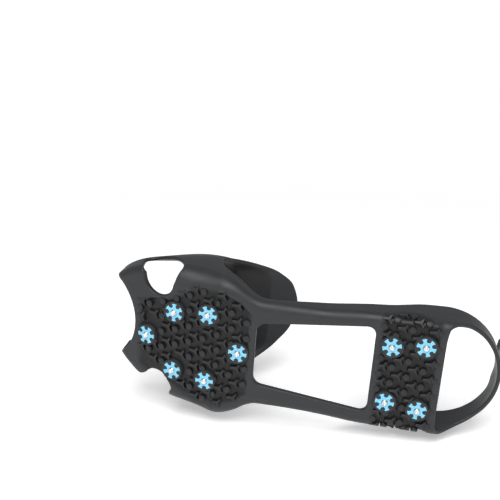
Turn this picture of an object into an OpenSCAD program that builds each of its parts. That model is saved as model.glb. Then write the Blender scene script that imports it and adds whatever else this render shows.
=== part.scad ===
// Slip-on ice cleat for a boot: one stretchy rubber harness carrying ten steel studs,
// each set in a six-toothed plastic star. It is drawn in its worn, stretched shape.
//
// The sole is measured along the boot from the back of the heel, in millimetres ("along"),
// across it from the centre line ("across"), and up from the tread face ("up").
// Places along it are given for a 290 mm sole, and move with the sole's length.
// In the model the toe points to -Y, the inner side of the foot is +X and up is +Z.
// The origin is under the middle of the whole cleat, on the ground the studs stand on.

/* [Boot sole] */
// Length of the boot sole, heel to toe
sole_l = 290; // [270:1:310]
// Half the width of the boot heel, and the radius of its back
heel_r = 41; // [36:0.5:46]
// Half the width of the rubber's seat at the waist of the sole
waist_half = 38.5; // [34:0.5:42]
// Half the width of the sole at the ball of the foot
ball_half = 53; // [48:0.5:58]
// Where the heel ends and the waist starts to narrow
heel_front = 88; // [80:1:96]
// Where the waist is at its narrowest
waist_start = 130; // [115:1:140]
// Where the waist starts to flare to the ball
waist_end = 167; // [150:1:172]
// Where the sole is widest
ball_at = 203; // [196:1:210]
// How far the toe swings to the inner side of the foot
toe_swing = 12; // [0:0.5:14]
// Roundness of the toe: 2 is an ellipse, more is squarer
toe_power = 2.15; // [2:0.05:2.6]
// Where the sole starts to rise to the toe
spring_at = 189; // [176:1:196]
// Radius of the rise to the toe
spring_r = 240; // [200:5:320]

/* [Rubber harness] */
// Thickness of the tread pads and the arch rails
pad_t = 4.5; // [3.8:0.1:6]
// Thickness of the side walls, straps and hood
wall_t = 2.8; // [2:0.1:4]
// Depth of the tread's floor below its border
tread_depth = 2; // [1:0.1:2.4]
// Rear edge of the heel pad
heel_edge = 39.5; // [36:0.5:44]
// Height of the side walls at the heel
heel_wall_h = 31; // [24:1:38]
// Height of the side walls along the arch
arch_wall_h = 16; // [10:1:22]
// Where the high side walls of the heel start to come down
heel_wall_end = 60; // [54:1:66]
// Where they have come down to the height of the arch walls
arch_wall_start = 96; // [90:1:104]
// Where the outer side wall runs out
outer_wall_end = 136; // [120:1:150]

/* [Arch opening] */
// Rear edge of the arch opening
arch_rear = 88; // [86:1:96]
// Front edge of the arch opening
arch_front = 172; // [160:1:173]
// Half the opening's width at its rear edge
arch_rear_half = 33.5; // [28:0.5:35]
// Half the opening's width at its front edge
arch_front_half = 24.5; // [18:0.5:28]
// Radius of the opening's corners
arch_corner = 6; // [3:0.5:9]

/* [Toe and straps] */
// Deepest point of the front edge of the forefoot pad
front_edge = 266; // [262:0.5:270]
// Radius of that hollow front edge
front_arc_r = 40; // [36:1:50]
// Middle of each side window, along the sole
window_at = 248; // [244:1:252]
// Radius of the foot of each side window
window_r = 12; // [8:0.5:13]
// How much wider a window is to the rear at the boot's side
window_flare = 3; // [1:0.5:5]
// Distance of the window's foot circle from the centre line of the windows
window_half = 43; // [40:0.5:46]
// Height at which the hood starts on the straps
strap_h = 20; // [16:1:26]
// Top of the side windows
window_top = 36; // [32:1:44]
// Front of the ball straps, where they leave the pad
ball_strap_front = 231; // [226:1:234]
// Rear of the ball straps, where they leave the pad
ball_strap_rear = 192; // [188:1:198]

/* [Hood over the toe] */
// Rear edge of the hood on top of the foot
hood_rear_top = 154; // [146:1:170]
// Front edge of the hood on top of the foot
hood_front_top = 205; // [195:1:220]
// Height of the top of the foot under the hood's rear edge
instep_h = 104; // [90:1:112]
// Height of the foot over the ball
ball_h = 78; // [66:1:86]
// Height of the toe cap at its front
toe_h = 32; // [28:1:40]
// Half the width of the foot at the instep
instep_half = 51; // [44:0.5:53]
// Squareness of the foot's cross-section behind the ball: 2 is an ellipse
foot_power = 3; // [2:0.1:3.2]
// Squareness of the toe's cross-section
toe_cap_power = 1.5; // [1.4:0.1:3]
// How the hood's front edge sweeps back from the straps: more is a quicker sweep
front_sweep = 0.8; // [0.7:0.05:1.3]
// How the hood's rear edge sweeps back from the straps: more is a later sweep
rear_sweep = 1.6; // [1.2:0.1:2]
// Front of the toe straps, where they reach the hood
strap_front = 281; // [274:1:282]
// Rear of the ball straps, where they are furthest forward
strap_rear = 205; // [198:1:210]

/* [Heel band] */
// Height of the band's lower edge at the back of the heel
band_low = 16; // [12:1:22]
// Height of the band's upper edge at the back of the heel
band_high = 34; // [30:1:40]
// Length of the pull tab
tab_l = 36; // [26:1:44]
// Width of the pull tab
tab_w = 24; // [18:1:30]
// Thickness of the pull tab
tab_t = 3.4; // [2.6:0.1:4]
// Lean of the pull tab away from the leg
tab_lean = 14; // [5:1:25]

/* [Tread] */
// Distance from one column of pegs to the next, along the sole
peg_pitch = 10.9; // [10:0.1:12]
// Distance between the pegs of one column
peg_spacing = 12.1; // [11:0.1:13.5]
// Diameter of a peg
peg_d = 5; // [4:0.1:5.6]
// Height of the pegs above the border
peg_proud = 0.3; // [0:0.1:0.6]
// Middle column of pegs on the heel
heel_column = 63.6; // [62:0.1:65]
// Middle column of pegs on the forefoot
ball_column = 221.6; // [220:0.1:223]

/* [Studs and stars] */
// Front and rear pairs of heel studs: along, and across from the centre line
heel_studs = [[76, 21.6], [52.9, 24.6]];
// Front and rear pairs of forefoot studs
ball_studs = [[233.8, 23.4], [207.9, 26.4]];
// Single studs on the centre line, front and rear
centre_studs = [256, 184.3]; // [180:0.1:260]
// Diameter over the teeth of a star
star_d = 13.6; // [12:0.1:15]
// Width of the notch between two teeth
notch_w = 3.2; // [2.4:0.1:3.8]
// Diameter of the star's body at the foot of the notches
star_root_d = 7.8; // [7:0.1:9]
// Width of the rubber rim round a star
boss_rim = 1.5; // [0.8:0.1:2.5]
// Height of the boss above the border
boss_proud = 0.5; // [0:0.1:1]
// Thickness of a star
star_t = 3.6; // [3:0.1:3.8]
// Diameter of a stud's shank
stud_d = 4.8; // [4:0.1:5.4]
// Diameter of a stud's tip
tip_d = 3.6; // [2.4:0.1:4]
// Diameter of the dimple in a stud's tip
dimple_d = 1.8; // [1:0.1:2.2]
// How far a stud stands out of the border
stud_out = 2.2; // [1.6:0.1:3]
// Diameter of the flange that keeps a stud from pulling out
flange_d = 9; // [7:0.1:10]
// Turn of each star about its stud, in the order of the stud places
star_turns = [45, 24, 18, 54, 0, 51, 24, 33, 30, 24]; // [0:1:59]
// Clearance round a star, a shank and a flange in the rubber
fit_gap = 0.05; // [0.02:0.01:0.1]

/* [Flex lines] */
// Where the sole bends between the arch and the forefoot
flex_at = 166; // [160:1:168]
// Most that the forefoot can turn up
flex_up = 40; // [20:1:45]
// Where the heel band swings from the heel pad
band_at = 42; // [41:0.5:44]
// Gap between bodies at a flex line
seam_gap = 0.35; // [0.3:0.05:0.6]

/* [Hidden] */
INNER = 1;
OUTER = -1;
FINE = 64;
STEP = 6;
FAR = 400;
EPS = 0.01;
RUBBER = "#34373c";
STAR_BLUE = "#7fd0f0";
STEEL = "#c9ccd0";

// Places along the sole are given for a sole of this length
BASE_L = 290;
// Half-widths of the tread and the windows are given for a sole of this half-width
BASE_HALF = 53;
function along(u) = u * sole_l / BASE_L;
function across(v) = v * ball_half / BASE_HALF;
HEEL_FRONT = along(heel_front);
WAIST_START = along(waist_start);
WAIST_END = along(waist_end);
BALL_AT = along(ball_at);
SPRING_AT = along(spring_at);
HEEL_EDGE = along(heel_edge);
OUTER_WALL_END = along(outer_wall_end);
HEEL_WALL_END = along(heel_wall_end);
ARCH_WALL_START = along(arch_wall_start);
ARCH_REAR = along(arch_rear);
ARCH_FRONT = along(arch_front);
FRONT_EDGE = along(front_edge);
WINDOW_AT = along(window_at);
BALL_STRAP_FRONT = along(ball_strap_front);
BALL_STRAP_REAR = along(ball_strap_rear);
HOOD_REAR_TOP = along(hood_rear_top);
HOOD_FRONT_TOP = along(hood_front_top);
STRAP_FRONT = along(strap_front);
STRAP_REAR = along(strap_rear);
HEEL_COLUMN = along(heel_column);
BALL_COLUMN = along(ball_column);
FLEX_AT = along(flex_at);
BAND_AT = along(band_at);
HEEL_STUDS = [for (p = heel_studs) [along(p[0]), p[1]]];
BALL_STUDS = [for (p = ball_studs) [along(p[0]), p[1]]];
CENTRE_STUDS = [for (u = centre_studs) along(u)];
BOSS_D = star_d + 2 * boss_rim;

// Centre of the hollow front edge, across and along
front_arc = [0.8 * swing_at(FRONT_EDGE), FRONT_EDGE + front_arc_r];

// Outermost points of the whole cleat along the sole, which fix its middle
tab_reach = wall_t / 2 + tab_t / 2 + (tab_l - tab_t / 2) * sin(tab_lean);
front_reach = max([
    for (u = [FRONT_EDGE : 0.5 : sole_l - STEP])
    let (p = edge_point(u, INNER, wall_t))
    if (norm(p - front_arc) > front_arc_r) p[1]
]);
mid = (front_reach - tab_reach) / 2;

// ---------------------------------------------------------------- shape of the boot

function ease(a, b, x) = a + (b - a) * (1 - cos(180 * max(0, min(1, x)))) / 2;

// Half-width of the sole at a place along it
function half_at(u) =
    u < heel_r ? sqrt(max(0, heel_r * heel_r - pow(heel_r - u, 2)))
    : u < WAIST_END ? ease(heel_r, waist_half, (u - HEEL_FRONT) / (WAIST_START - HEEL_FRONT))
    : u < BALL_AT ? ease(waist_half, ball_half, (u - WAIST_END) / (BALL_AT - WAIST_END))
    : ball_half * pow(max(0, 1 - pow((u - BALL_AT) / (sole_l + 1 - BALL_AT), toe_power)), 1 / toe_power);

// Sideways swing of the sole's middle line
function swing_at(u) = u < BALL_AT ? 0 : toe_swing * (u - BALL_AT) / (sole_l - 5 - BALL_AT);

function edge_at(u, side) = swing_at(u) + side * half_at(u);

// Turn of the sole's edge away from straight ahead
function edge_turn(u, side) = atan2(edge_at(u + 0.5, side) - edge_at(u - 0.5, side), 1);

// A point of the sole's edge, moved out by off
function edge_point(u, side, off) =
    let (turn = edge_turn(u, side))
    [edge_at(u, side) + side * off * cos(turn), u - side * off * sin(turn)];

// A point of the round back of the heel, moved out by off
function heel_point(angle, side, off) =
    [side * (heel_r + off) * sin(angle), heel_r - (heel_r + off) * cos(angle)];

// One side of the sole's outline, from the back of the heel to the toe, as [across, along]
function side_line(side, off) = concat(
    [for (angle = [0 : 7.5 : 82.5]) heel_point(angle, side, off)],
    [for (u = [heel_r : STEP : sole_l - STEP]) edge_point(u, side, off)]
);

function reversed(list) = [for (i = [len(list) - 1 : -1 : 0]) list[i]];

// Rise of the sole's underside towards the toe
function rise_at(u) = u < SPRING_AT ? 0 : spring_r - sqrt(spring_r * spring_r - pow(u - SPRING_AT, 2));
function pitch_at(u) = u < SPRING_AT ? 0 : asin((u - SPRING_AT) / spring_r);

// Height of the upper edge of the toe straps, which the hood stands on
function strap_top(u) = u < SPRING_AT ? strap_h
    : spring_r - sqrt(pow(spring_r - strap_h, 2) - pow(u - SPRING_AT, 2));

// ---------------------------------------------------------------- frames of reference

// From [across, along, up] of the sole to the model's own frame
module on_boot() {
    translate([0, mid, stud_out]) mirror([0, 1, 0]) children();
}

// Stands its children on the tread face, upright to it, at a place on the sole
module on_tread(u, v) {
    translate([v, mid - u, stud_out + rise_at(u)]) rotate([-pitch_at(u), 0, 0]) children();
}

// Extrudes a drawing of [across, along] upwards
module plan(low, high) {
    translate([0, 0, low]) linear_extrude(high - low) children();
}

// Extrudes a drawing of [along, up] across one side or both sides of the boot
module profile(from, to) {
    translate([from, 0, 0]) rotate([90, 0, 90]) linear_extrude(to - from) children();
}

// ---------------------------------------------------------------- drawings

// The sole's outline, moved out by off
module sole_shape(off) {
    polygon(concat(side_line(INNER, off), reversed(side_line(OUTER, off))));
}

// The band of rubber that follows the sole's edge
module edge_ring() {
    difference() {
        sole_shape(wall_t);
        sole_shape(0);
    }
}

module slab(from, to) {
    translate([-FAR / 2, from]) square([FAR, to - from]);
}

// A rounded trapezoid along the sole, made of four corner circles and the shape between them
module arch_shape() {
    rear = arch_rear_half - arch_corner;
    front = arch_front_half - arch_corner;
    low = ARCH_REAR + arch_corner;
    high = ARCH_FRONT - arch_corner;
    lean = atan2(rear - front, high - low);
    out = arch_corner * cos(lean);
    up = arch_corner * sin(lean);
    for (side = [INNER, OUTER]) {
        translate([side * rear, low]) circle(arch_corner, $fn = FINE);
        translate([side * front, high]) circle(arch_corner, $fn = FINE);
        polygon([
            [0, low], [side * rear, low], [side * (rear + out), low + up],
            [side * (front + out), high + up], [side * front, high], [0, high]
        ]);
    }
    translate([-rear, ARCH_REAR]) square([2 * rear, arch_corner]);
    translate([-front, high]) square([2 * front, arch_corner]);
}

// A U-shaped window that opens to the side
WINDOW_FRONT = WINDOW_AT + window_r;
WINDOW_REAR = WINDOW_AT - window_r;
module window_shape(side) {
    foot = swing_at(WINDOW_AT) / 2 + side * across(window_half);
    rear = WINDOW_REAR - window_flare;
    rim = edge_at(rear, side) + side * 2 * wall_t;
    translate([foot, WINDOW_AT]) circle(window_r, $fn = FINE);
    polygon([[foot, WINDOW_REAR], [foot, WINDOW_FRONT], [rim, WINDOW_FRONT], [rim, rear]]);
}

// The half of the tread area on one side, as half-widths along the forefoot
TREAD_EDGE = [[176, 30], [184, 37], [196, 43], [214, 45], [226, 38], [237, 29], [252, 27], [262, 17]];
BALL_TREAD = [for (p = TREAD_EDGE) [along(p[0]), across(p[1])]];
module ball_tread_shape() {
    polygon(concat(
        [for (p = BALL_TREAD) [p[1], p[0]]],
        reversed([for (p = BALL_TREAD) [-p[1], p[0]]])
    ));
}

module heel_tread_shape() {
    rear_margin = 3.5;
    front_margin = 1.4;
    translate([-heel_r, HEEL_EDGE + rear_margin])
        square([2 * heel_r, ARCH_REAR - HEEL_EDGE - rear_margin - front_margin]);
}

// Underside and top of the forefoot, as a drawing of [along, up] of thickness t from height low
module spring_profile(from, low, high) {
    translate([from, low]) square([SPRING_AT - from, high - low]);
    intersection() {
        translate([SPRING_AT, spring_r]) difference() {
            circle(spring_r - low, $fn = 4 * FINE);
            circle(spring_r - high, $fn = 4 * FINE);
        }
        translate([SPRING_AT - EPS, -FAR / 2]) square([sole_l - SPRING_AT, FAR]);
    }
}

module star_shape(off) {
    difference() {
        circle(star_d / 2 + off, $fn = FINE);
        for (i = [0 : 5]) {
            rotate(60 * i + 30) {
                translate([star_root_d / 2 + notch_w / 2, 0]) circle(notch_w / 2 - off, $fn = FINE);
                translate([star_root_d / 2 + notch_w / 2, off - notch_w / 2])
                    square([star_d, notch_w - 2 * off]);
            }
        }
    }
}

// ---------------------------------------------------------------- tread and studs

function near(a, b, reach) = norm(a - b) < reach;
function inside_ball(p) = abs(p[0]) < lookup(p[1], BALL_TREAD) - peg_d / 2
    && p[1] > BALL_TREAD[0][0] + peg_d / 2 && p[1] < BALL_TREAD[len(BALL_TREAD) - 1][0];
function both_sides(pairs) = [for (p = pairs, side = [INNER, OUTER]) [side * p[1], p[0]]];
function ball_places() = concat(both_sides(BALL_STUDS), [for (u = CENTRE_STUDS) [0, u]]);
function clear_of(p, places, reach) = len([for (q = places) if (near(p, q, reach)) 1]) == 0;
function staggered(column, row) = (row + (abs(column) % 2) / 2) * peg_spacing;

// Pegs of the heel or forefoot as [across, along], left out where a boss stands
function heel_pegs() = [
    for (c = [-1 : 2], r = [-3 : 3])
    let (p = [staggered(c, r), HEEL_COLUMN + c * peg_pitch])
    if (abs(p[0]) < heel_r - peg_d / 2 && clear_of(p, both_sides(HEEL_STUDS), (BOSS_D + peg_d) / 2)) p
];
function ball_pegs() = [
    for (c = [-4 : 3], r = [-4 : 4])
    let (p = [staggered(c, r), BALL_COLUMN + c * peg_pitch])
    if (inside_ball(p) && clear_of(p, ball_places(), (BOSS_D + peg_d) / 2)) p
];

// Turns of the heel's stars and of the forefoot's
function heel_turns() = [for (i = [0 : 3]) star_turns[i]];
function ball_turns() = [for (i = [4 : 9]) star_turns[i]];

module pegs(places) {
    for (p = places) {
        on_tread(p[1], p[0])
            translate([0, 0, -peg_proud]) cylinder(d = peg_d, h = tread_depth + peg_proud + EPS, $fn = 24);
    }
}

module bosses(places) {
    for (p = places) {
        on_tread(p[1], p[0])
            translate([0, 0, -boss_proud]) cylinder(d = BOSS_D, h = tread_depth + boss_proud + EPS, $fn = FINE);
    }
}

// The stepped pocket of a star and of the flange behind it
module stud_pockets(places, turns) {
    for (i = [0 : len(places) - 1]) {
        on_tread(places[i][1], places[i][0]) {
            translate([0, 0, -boss_proud - EPS]) linear_extrude(star_t + EPS)
                rotate(-turns[i]) star_shape(fit_gap);
            translate([0, 0, star_t - boss_proud - EPS])
                cylinder(d = flange_d + 2 * fit_gap, h = pad_t, $fn = FINE);
        }
    }
}

module star(u, v, turn) {
    color(STAR_BLUE) on_tread(u, v) difference() {
        translate([0, 0, -boss_proud]) linear_extrude(star_t) rotate(-turn) star_shape(0);
        translate([0, 0, -boss_proud - 1]) cylinder(d = stud_d + 2 * fit_gap, h = star_t + 2, $fn = FINE);
    }
}

module stud(u, v) {
    taper = stud_out - boss_proud;
    flange_low = star_t - boss_proud;
    color(STEEL) on_tread(u, v) difference() {
        union() {
            translate([0, 0, -stud_out]) cylinder(d1 = tip_d, d2 = stud_d, h = taper, $fn = FINE);
            translate([0, 0, -boss_proud]) cylinder(d = stud_d, h = star_t, $fn = FINE);
            translate([0, 0, flange_low]) cylinder(d = flange_d, h = pad_t - flange_low, $fn = FINE);
        }
        translate([0, 0, -stud_out - EPS]) cylinder(d1 = dimple_d, d2 = dimple_d / 2, h = 0.8, $fn = FINE);
    }
}

// ---------------------------------------------------------------- the harness

// Side wall from the heel to the flex line, as a drawing of [along, up]
module side_wall(end, end_h) {
    halfway = (HEEL_WALL_END + ARCH_WALL_START) / 2;
    sag = 6;
    polygon([
        [BAND_AT, 0], [BAND_AT, heel_wall_h], [HEEL_WALL_END, heel_wall_h], [halfway, arch_wall_h + sag],
        [ARCH_WALL_START, arch_wall_h], [end, end_h], [end, 0]
    ]);
}

// Heel pad, arch rails and side walls up to the flex line
module heel_arch_frame() {
    open = flex_up / 2;
    color(RUBBER) difference() {
        union() {
            on_boot() difference() {
                plan(0, pad_t) {
                    intersection() {
                        sole_shape(wall_t);
                        slab(BAND_AT, FLEX_AT);
                    }
                    intersection() {
                        sole_shape(-seam_gap);
                        slab(HEEL_EDGE, BAND_AT + EPS);
                    }
                }
                plan(-1, tread_depth) heel_tread_shape();
                plan(-1, FAR) arch_shape();
            }
            on_boot() intersection() {
                plan(0, FAR) edge_ring();
                union() {
                    profile(0, FAR) side_wall(FLEX_AT, arch_wall_h);
                    profile(-FAR, 0) side_wall(OUTER_WALL_END, pad_t);
                }
            }
            pegs(heel_pegs());
            bosses(both_sides(HEEL_STUDS));
        }
        stud_pockets(both_sides(HEEL_STUDS), heel_turns());
        on_boot() profile(-FAR, FAR) polygon([
            [FLEX_AT - seam_gap / 2, -1], [FLEX_AT - seam_gap / 2 - FAR * tan(open), FAR],
            [FLEX_AT + FAR, FAR], [FLEX_AT + FAR, -1]
        ]);
    }
}

// Forefoot pad with the roots of the toe straps and ball straps
module forefoot_pad() {
    open = flex_up / 2;
    strap_foot = 12;
    strap_lean = 6;
    color(RUBBER) difference() {
        union() {
            on_boot() difference() {
                intersection() {
                    plan(-1, FAR) intersection() {
                        sole_shape(wall_t);
                        slab(FLEX_AT, sole_l);
                    }
                    profile(-FAR, FAR) spring_profile(FLEX_AT, 0, pad_t);
                }
                intersection() {
                    plan(-1, FAR) ball_tread_shape();
                    profile(-FAR, FAR) spring_profile(FLEX_AT, -1, tread_depth);
                }
                plan(-1, FAR) arch_shape();
            }
            on_boot() intersection() {
                plan(0, FAR) edge_ring();
                profile(-FAR, FAR) intersection() {
                    spring_profile(FLEX_AT, 0, strap_h);
                    polygon([
                        [BALL_STRAP_REAR - strap_foot, -1], [BALL_STRAP_REAR - strap_foot, pad_t],
                        [BALL_STRAP_REAR, strap_h - strap_lean], [BALL_STRAP_REAR + strap_lean, FAR],
                        [sole_l, FAR], [sole_l, -1]
                    ]);
                }
            }
            pegs(ball_pegs());
            bosses(ball_places());
        }
        stud_pockets(ball_places(), ball_turns());
        on_boot() {
            plan(-1, FAR) window_shape(INNER);
            plan(-1, FAR) window_shape(OUTER);
            plan(-1, FAR) translate(front_arc) circle(front_arc_r, $fn = 2 * FINE);
            profile(-FAR, FAR) polygon([
                [FLEX_AT + seam_gap / 2, -1], [FLEX_AT + seam_gap / 2 + FAR * tan(open), FAR],
                [FLEX_AT - FAR, FAR], [FLEX_AT - FAR, -1]
            ]);
        }
    }
}

// Height of the top of the foot, and its half-width above the sole
function top_at(u) = u > BALL_AT
    ? toe_h + (ball_h - toe_h) * sqrt(max(0, 1 - pow((u - BALL_AT) / (sole_l - BALL_AT), 2)))
    : ball_h + (instep_h - ball_h) * (BALL_AT - u) / (BALL_AT - HOOD_REAR_TOP);
function foot_half(u) = u > BALL_AT
    ? half_at(u)
    : ball_half + (instep_half - ball_half) * (BALL_AT - u) / (BALL_AT - HOOD_REAR_TOP);

function power_at(u) = ease(foot_power, toe_cap_power, (u - BALL_AT) / (along(260) - BALL_AT));

// A point of the foot's cross-section at angle a, from 0 at the inner side to 180 at the outer
function foot_point(u, a, off) =
    let (c = cos(a), s = sin(a), k = 2 / power_at(u))
    [
        swing_at(u) + (foot_half(u) + off) * sign(c) * pow(abs(c), k),
        u,
        strap_top(u) + (top_at(u) - strap_h + off) * pow(s, k)
    ];

// Front and rear edge of the hood at angle a
function hood_front(a) = HOOD_FRONT_TOP + (STRAP_FRONT - HOOD_FRONT_TOP) * pow(1 - sin(a), front_sweep);
function hood_rear(a) = HOOD_REAR_TOP + (STRAP_REAR - HOOD_REAR_TOP) * (1 - pow(sin(a), rear_sweep));

HOOD_ROWS = 24;
HOOD_COLS = 8;
// Points of one face of the hood, row by row from the inner side to the outer
function hood_grid(off) = [
    for (i = [0 : HOOD_ROWS], j = [0 : HOOD_COLS])
    let (a = 180 * i / HOOD_ROWS)
    foot_point(hood_rear(a) + (hood_front(a) - hood_rear(a)) * j / HOOD_COLS, a, off)
];

// A closed skin between two point grids of the same size
module skin(inner, outer, rows, cols) {
    n = (rows + 1) * (cols + 1);
    function at(i, j) = i * (cols + 1) + j;
    function square_of(a, b, c, d) = [[a, b, c], [a, c, d]];
    inside = [for (i = [0 : rows - 1], j = [0 : cols - 1])
        each square_of(at(i, j), at(i + 1, j), at(i + 1, j + 1), at(i, j + 1))];
    outside = [for (i = [0 : rows - 1], j = [0 : cols - 1])
        each square_of(n + at(i, j), n + at(i, j + 1), n + at(i + 1, j + 1), n + at(i + 1, j))];
    ends = [for (j = [0 : cols - 1])
        each concat(
            square_of(at(0, j), at(0, j + 1), n + at(0, j + 1), n + at(0, j)),
            square_of(at(rows, j + 1), at(rows, j), n + at(rows, j), n + at(rows, j + 1))
        )];
    sides = [for (i = [0 : rows - 1])
        each concat(
            square_of(at(i + 1, 0), at(i, 0), n + at(i, 0), n + at(i + 1, 0)),
            square_of(at(i, cols), at(i + 1, cols), n + at(i + 1, cols), n + at(i, cols))
        )];
    polyhedron(concat(inner, outer), concat(inside, outside, ends, sides), convexity = 6);
}

// Hood over the toe and instep, with the tops of the side windows cut out
module toe_hood() {
    corner = 4;
    color(RUBBER) on_boot() difference() {
        skin(hood_grid(0), hood_grid(wall_t), HOOD_ROWS, HOOD_COLS);
        profile(-FAR, FAR) polygon([
            [BALL_STRAP_FRONT, 0], [BALL_STRAP_FRONT, window_top - corner],
            [BALL_STRAP_FRONT + corner, window_top], [WINDOW_FRONT - corner, window_top],
            [WINDOW_FRONT + 1, window_top - corner], [WINDOW_FRONT + 1, 0]
        ]);
    }
}

// Band round the back of the heel
module heel_band() {
    color(RUBBER) on_boot() intersection() {
        plan(0, FAR) edge_ring();
        profile(-FAR, FAR) polygon([
            [-FAR, band_low], [BAND_AT - 32, band_low], [BAND_AT - 20, 0.8 * band_low],
            [BAND_AT - 10, 0.4 * band_low], [BAND_AT - 4, 0], [BAND_AT - seam_gap, 0],
            [BAND_AT - seam_gap, heel_wall_h], [heel_r / 2, band_high], [-FAR, band_high]
        ]);
    }
}

// Pull tab on a round root, above the back of the band
module pull_tab() {
    root_r = tab_t / 2;
    root_h = band_high + root_r + seam_gap;
    color(RUBBER) on_boot() translate([0, -wall_t / 2, root_h]) rotate([tab_lean, 0, 0]) {
        rotate([0, 90, 0]) cylinder(r = root_r, h = tab_w, center = true, $fn = 32);
        translate([0, root_r, 0]) rotate([90, 0, 0]) linear_extrude(tab_t) {
            translate([-tab_w / 2, 0]) square([tab_w, tab_l - tab_w / 3]);
            intersection() {
                translate([0, tab_l - tab_w / 2 - root_r]) circle(d = tab_w, $fn = FINE);
                translate([-tab_w / 2, 0]) square([tab_w, tab_l]);
            }
        }
    }
}

module star_heel_front_inner() { star(HEEL_STUDS[0][0], INNER * HEEL_STUDS[0][1], star_turns[0]); }
module star_heel_front_outer() { star(HEEL_STUDS[0][0], OUTER * HEEL_STUDS[0][1], star_turns[1]); }
module star_heel_rear_inner() { star(HEEL_STUDS[1][0], INNER * HEEL_STUDS[1][1], star_turns[2]); }
module star_heel_rear_outer() { star(HEEL_STUDS[1][0], OUTER * HEEL_STUDS[1][1], star_turns[3]); }
module star_ball_front_inner() { star(BALL_STUDS[0][0], INNER * BALL_STUDS[0][1], star_turns[4]); }
module star_ball_front_outer() { star(BALL_STUDS[0][0], OUTER * BALL_STUDS[0][1], star_turns[5]); }
module star_ball_rear_inner() { star(BALL_STUDS[1][0], INNER * BALL_STUDS[1][1], star_turns[6]); }
module star_ball_rear_outer() { star(BALL_STUDS[1][0], OUTER * BALL_STUDS[1][1], star_turns[7]); }
module star_toe_centre() { star(CENTRE_STUDS[0], 0, star_turns[8]); }
module star_ball_centre() { star(CENTRE_STUDS[1], 0, star_turns[9]); }
module stud_heel_front_inner() { stud(HEEL_STUDS[0][0], INNER * HEEL_STUDS[0][1]); }
module stud_heel_front_outer() { stud(HEEL_STUDS[0][0], OUTER * HEEL_STUDS[0][1]); }
module stud_heel_rear_inner() { stud(HEEL_STUDS[1][0], INNER * HEEL_STUDS[1][1]); }
module stud_heel_rear_outer() { stud(HEEL_STUDS[1][0], OUTER * HEEL_STUDS[1][1]); }
module stud_ball_front_inner() { stud(BALL_STUDS[0][0], INNER * BALL_STUDS[0][1]); }
module stud_ball_front_outer() { stud(BALL_STUDS[0][0], OUTER * BALL_STUDS[0][1]); }
module stud_ball_rear_inner() { stud(BALL_STUDS[1][0], INNER * BALL_STUDS[1][1]); }
module stud_ball_rear_outer() { stud(BALL_STUDS[1][0], OUTER * BALL_STUDS[1][1]); }
module stud_toe_centre() { stud(CENTRE_STUDS[0], 0); }
module stud_ball_centre() { stud(CENTRE_STUDS[1], 0); }

heel_arch_frame();
forefoot_pad();
toe_hood();
heel_band();
pull_tab();
star_heel_front_inner();
star_heel_front_outer();
star_heel_rear_inner();
star_heel_rear_outer();
star_ball_front_inner();
star_ball_front_outer();
star_ball_rear_inner();
star_ball_rear_outer();
star_toe_centre();
star_ball_centre();
stud_heel_front_inner();
stud_heel_front_outer();
stud_heel_rear_inner();
stud_heel_rear_outer();
stud_ball_front_inner();
stud_ball_front_outer();
stud_ball_rear_inner();
stud_ball_rear_outer();
stud_toe_centre();
stud_ball_centre();
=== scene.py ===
"""A slip-on ice cleat: rubber harness, tread, plastic stars and steel studs, built round its CAD frame.

Lengths are in millimetres until a mesh is finished, and then in metres, as the frame is. A place
on the sole is given as "along" (from the back of the heel to the toe), "across" (from the centre
line, inner side of the foot positive) and "up" (from the face of the rubber).
"""

import logging
import math
from dataclasses import dataclass
from enum import Enum

import bmesh
import bpy
import numpy as np
from mathutils import Matrix, Vector


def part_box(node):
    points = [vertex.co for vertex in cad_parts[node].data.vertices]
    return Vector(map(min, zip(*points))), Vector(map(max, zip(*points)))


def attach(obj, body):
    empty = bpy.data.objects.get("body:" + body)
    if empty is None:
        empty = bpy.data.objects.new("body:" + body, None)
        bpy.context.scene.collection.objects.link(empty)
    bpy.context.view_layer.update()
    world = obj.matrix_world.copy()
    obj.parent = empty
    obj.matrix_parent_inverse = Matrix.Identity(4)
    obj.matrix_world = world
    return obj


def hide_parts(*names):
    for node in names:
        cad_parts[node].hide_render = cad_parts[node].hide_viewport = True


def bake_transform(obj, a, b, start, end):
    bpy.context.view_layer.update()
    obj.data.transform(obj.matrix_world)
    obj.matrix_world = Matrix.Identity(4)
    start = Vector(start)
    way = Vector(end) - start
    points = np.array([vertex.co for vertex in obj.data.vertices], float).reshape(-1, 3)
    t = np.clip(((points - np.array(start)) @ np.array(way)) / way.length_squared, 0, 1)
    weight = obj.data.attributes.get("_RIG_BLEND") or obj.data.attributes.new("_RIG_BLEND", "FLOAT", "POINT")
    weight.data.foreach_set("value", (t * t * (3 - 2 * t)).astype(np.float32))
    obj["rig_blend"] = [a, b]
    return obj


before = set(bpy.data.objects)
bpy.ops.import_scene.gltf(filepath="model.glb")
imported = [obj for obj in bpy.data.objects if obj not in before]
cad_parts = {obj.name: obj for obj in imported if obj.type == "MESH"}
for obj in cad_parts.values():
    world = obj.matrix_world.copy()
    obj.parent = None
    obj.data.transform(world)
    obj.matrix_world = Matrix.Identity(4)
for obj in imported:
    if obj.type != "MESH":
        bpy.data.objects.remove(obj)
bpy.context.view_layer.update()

MM = 0.001
# Vertex attribute that drives painted shade: the rubber's colour darkens with depth in the tread's hollows.
PAINTED_SHADE_DEPTH = "hollow"
LOG = logging.getLogger("ice_cleat")


class Body(str, Enum):
    """The moving bodies of the frame."""

    HEEL_ARCH = "heel_arch"
    FOREFOOT = "forefoot"
    HEEL_BAND = "heel_band"
    PULL_TAB = "pull_tab"


class Slot(str, Enum):
    """The material slots of the record."""

    RUBBER = "rubber"
    STAR = "star_plastic"
    STEEL = "stud_steel"


# ------------------------------------------------------------------------------ small helpers


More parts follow.
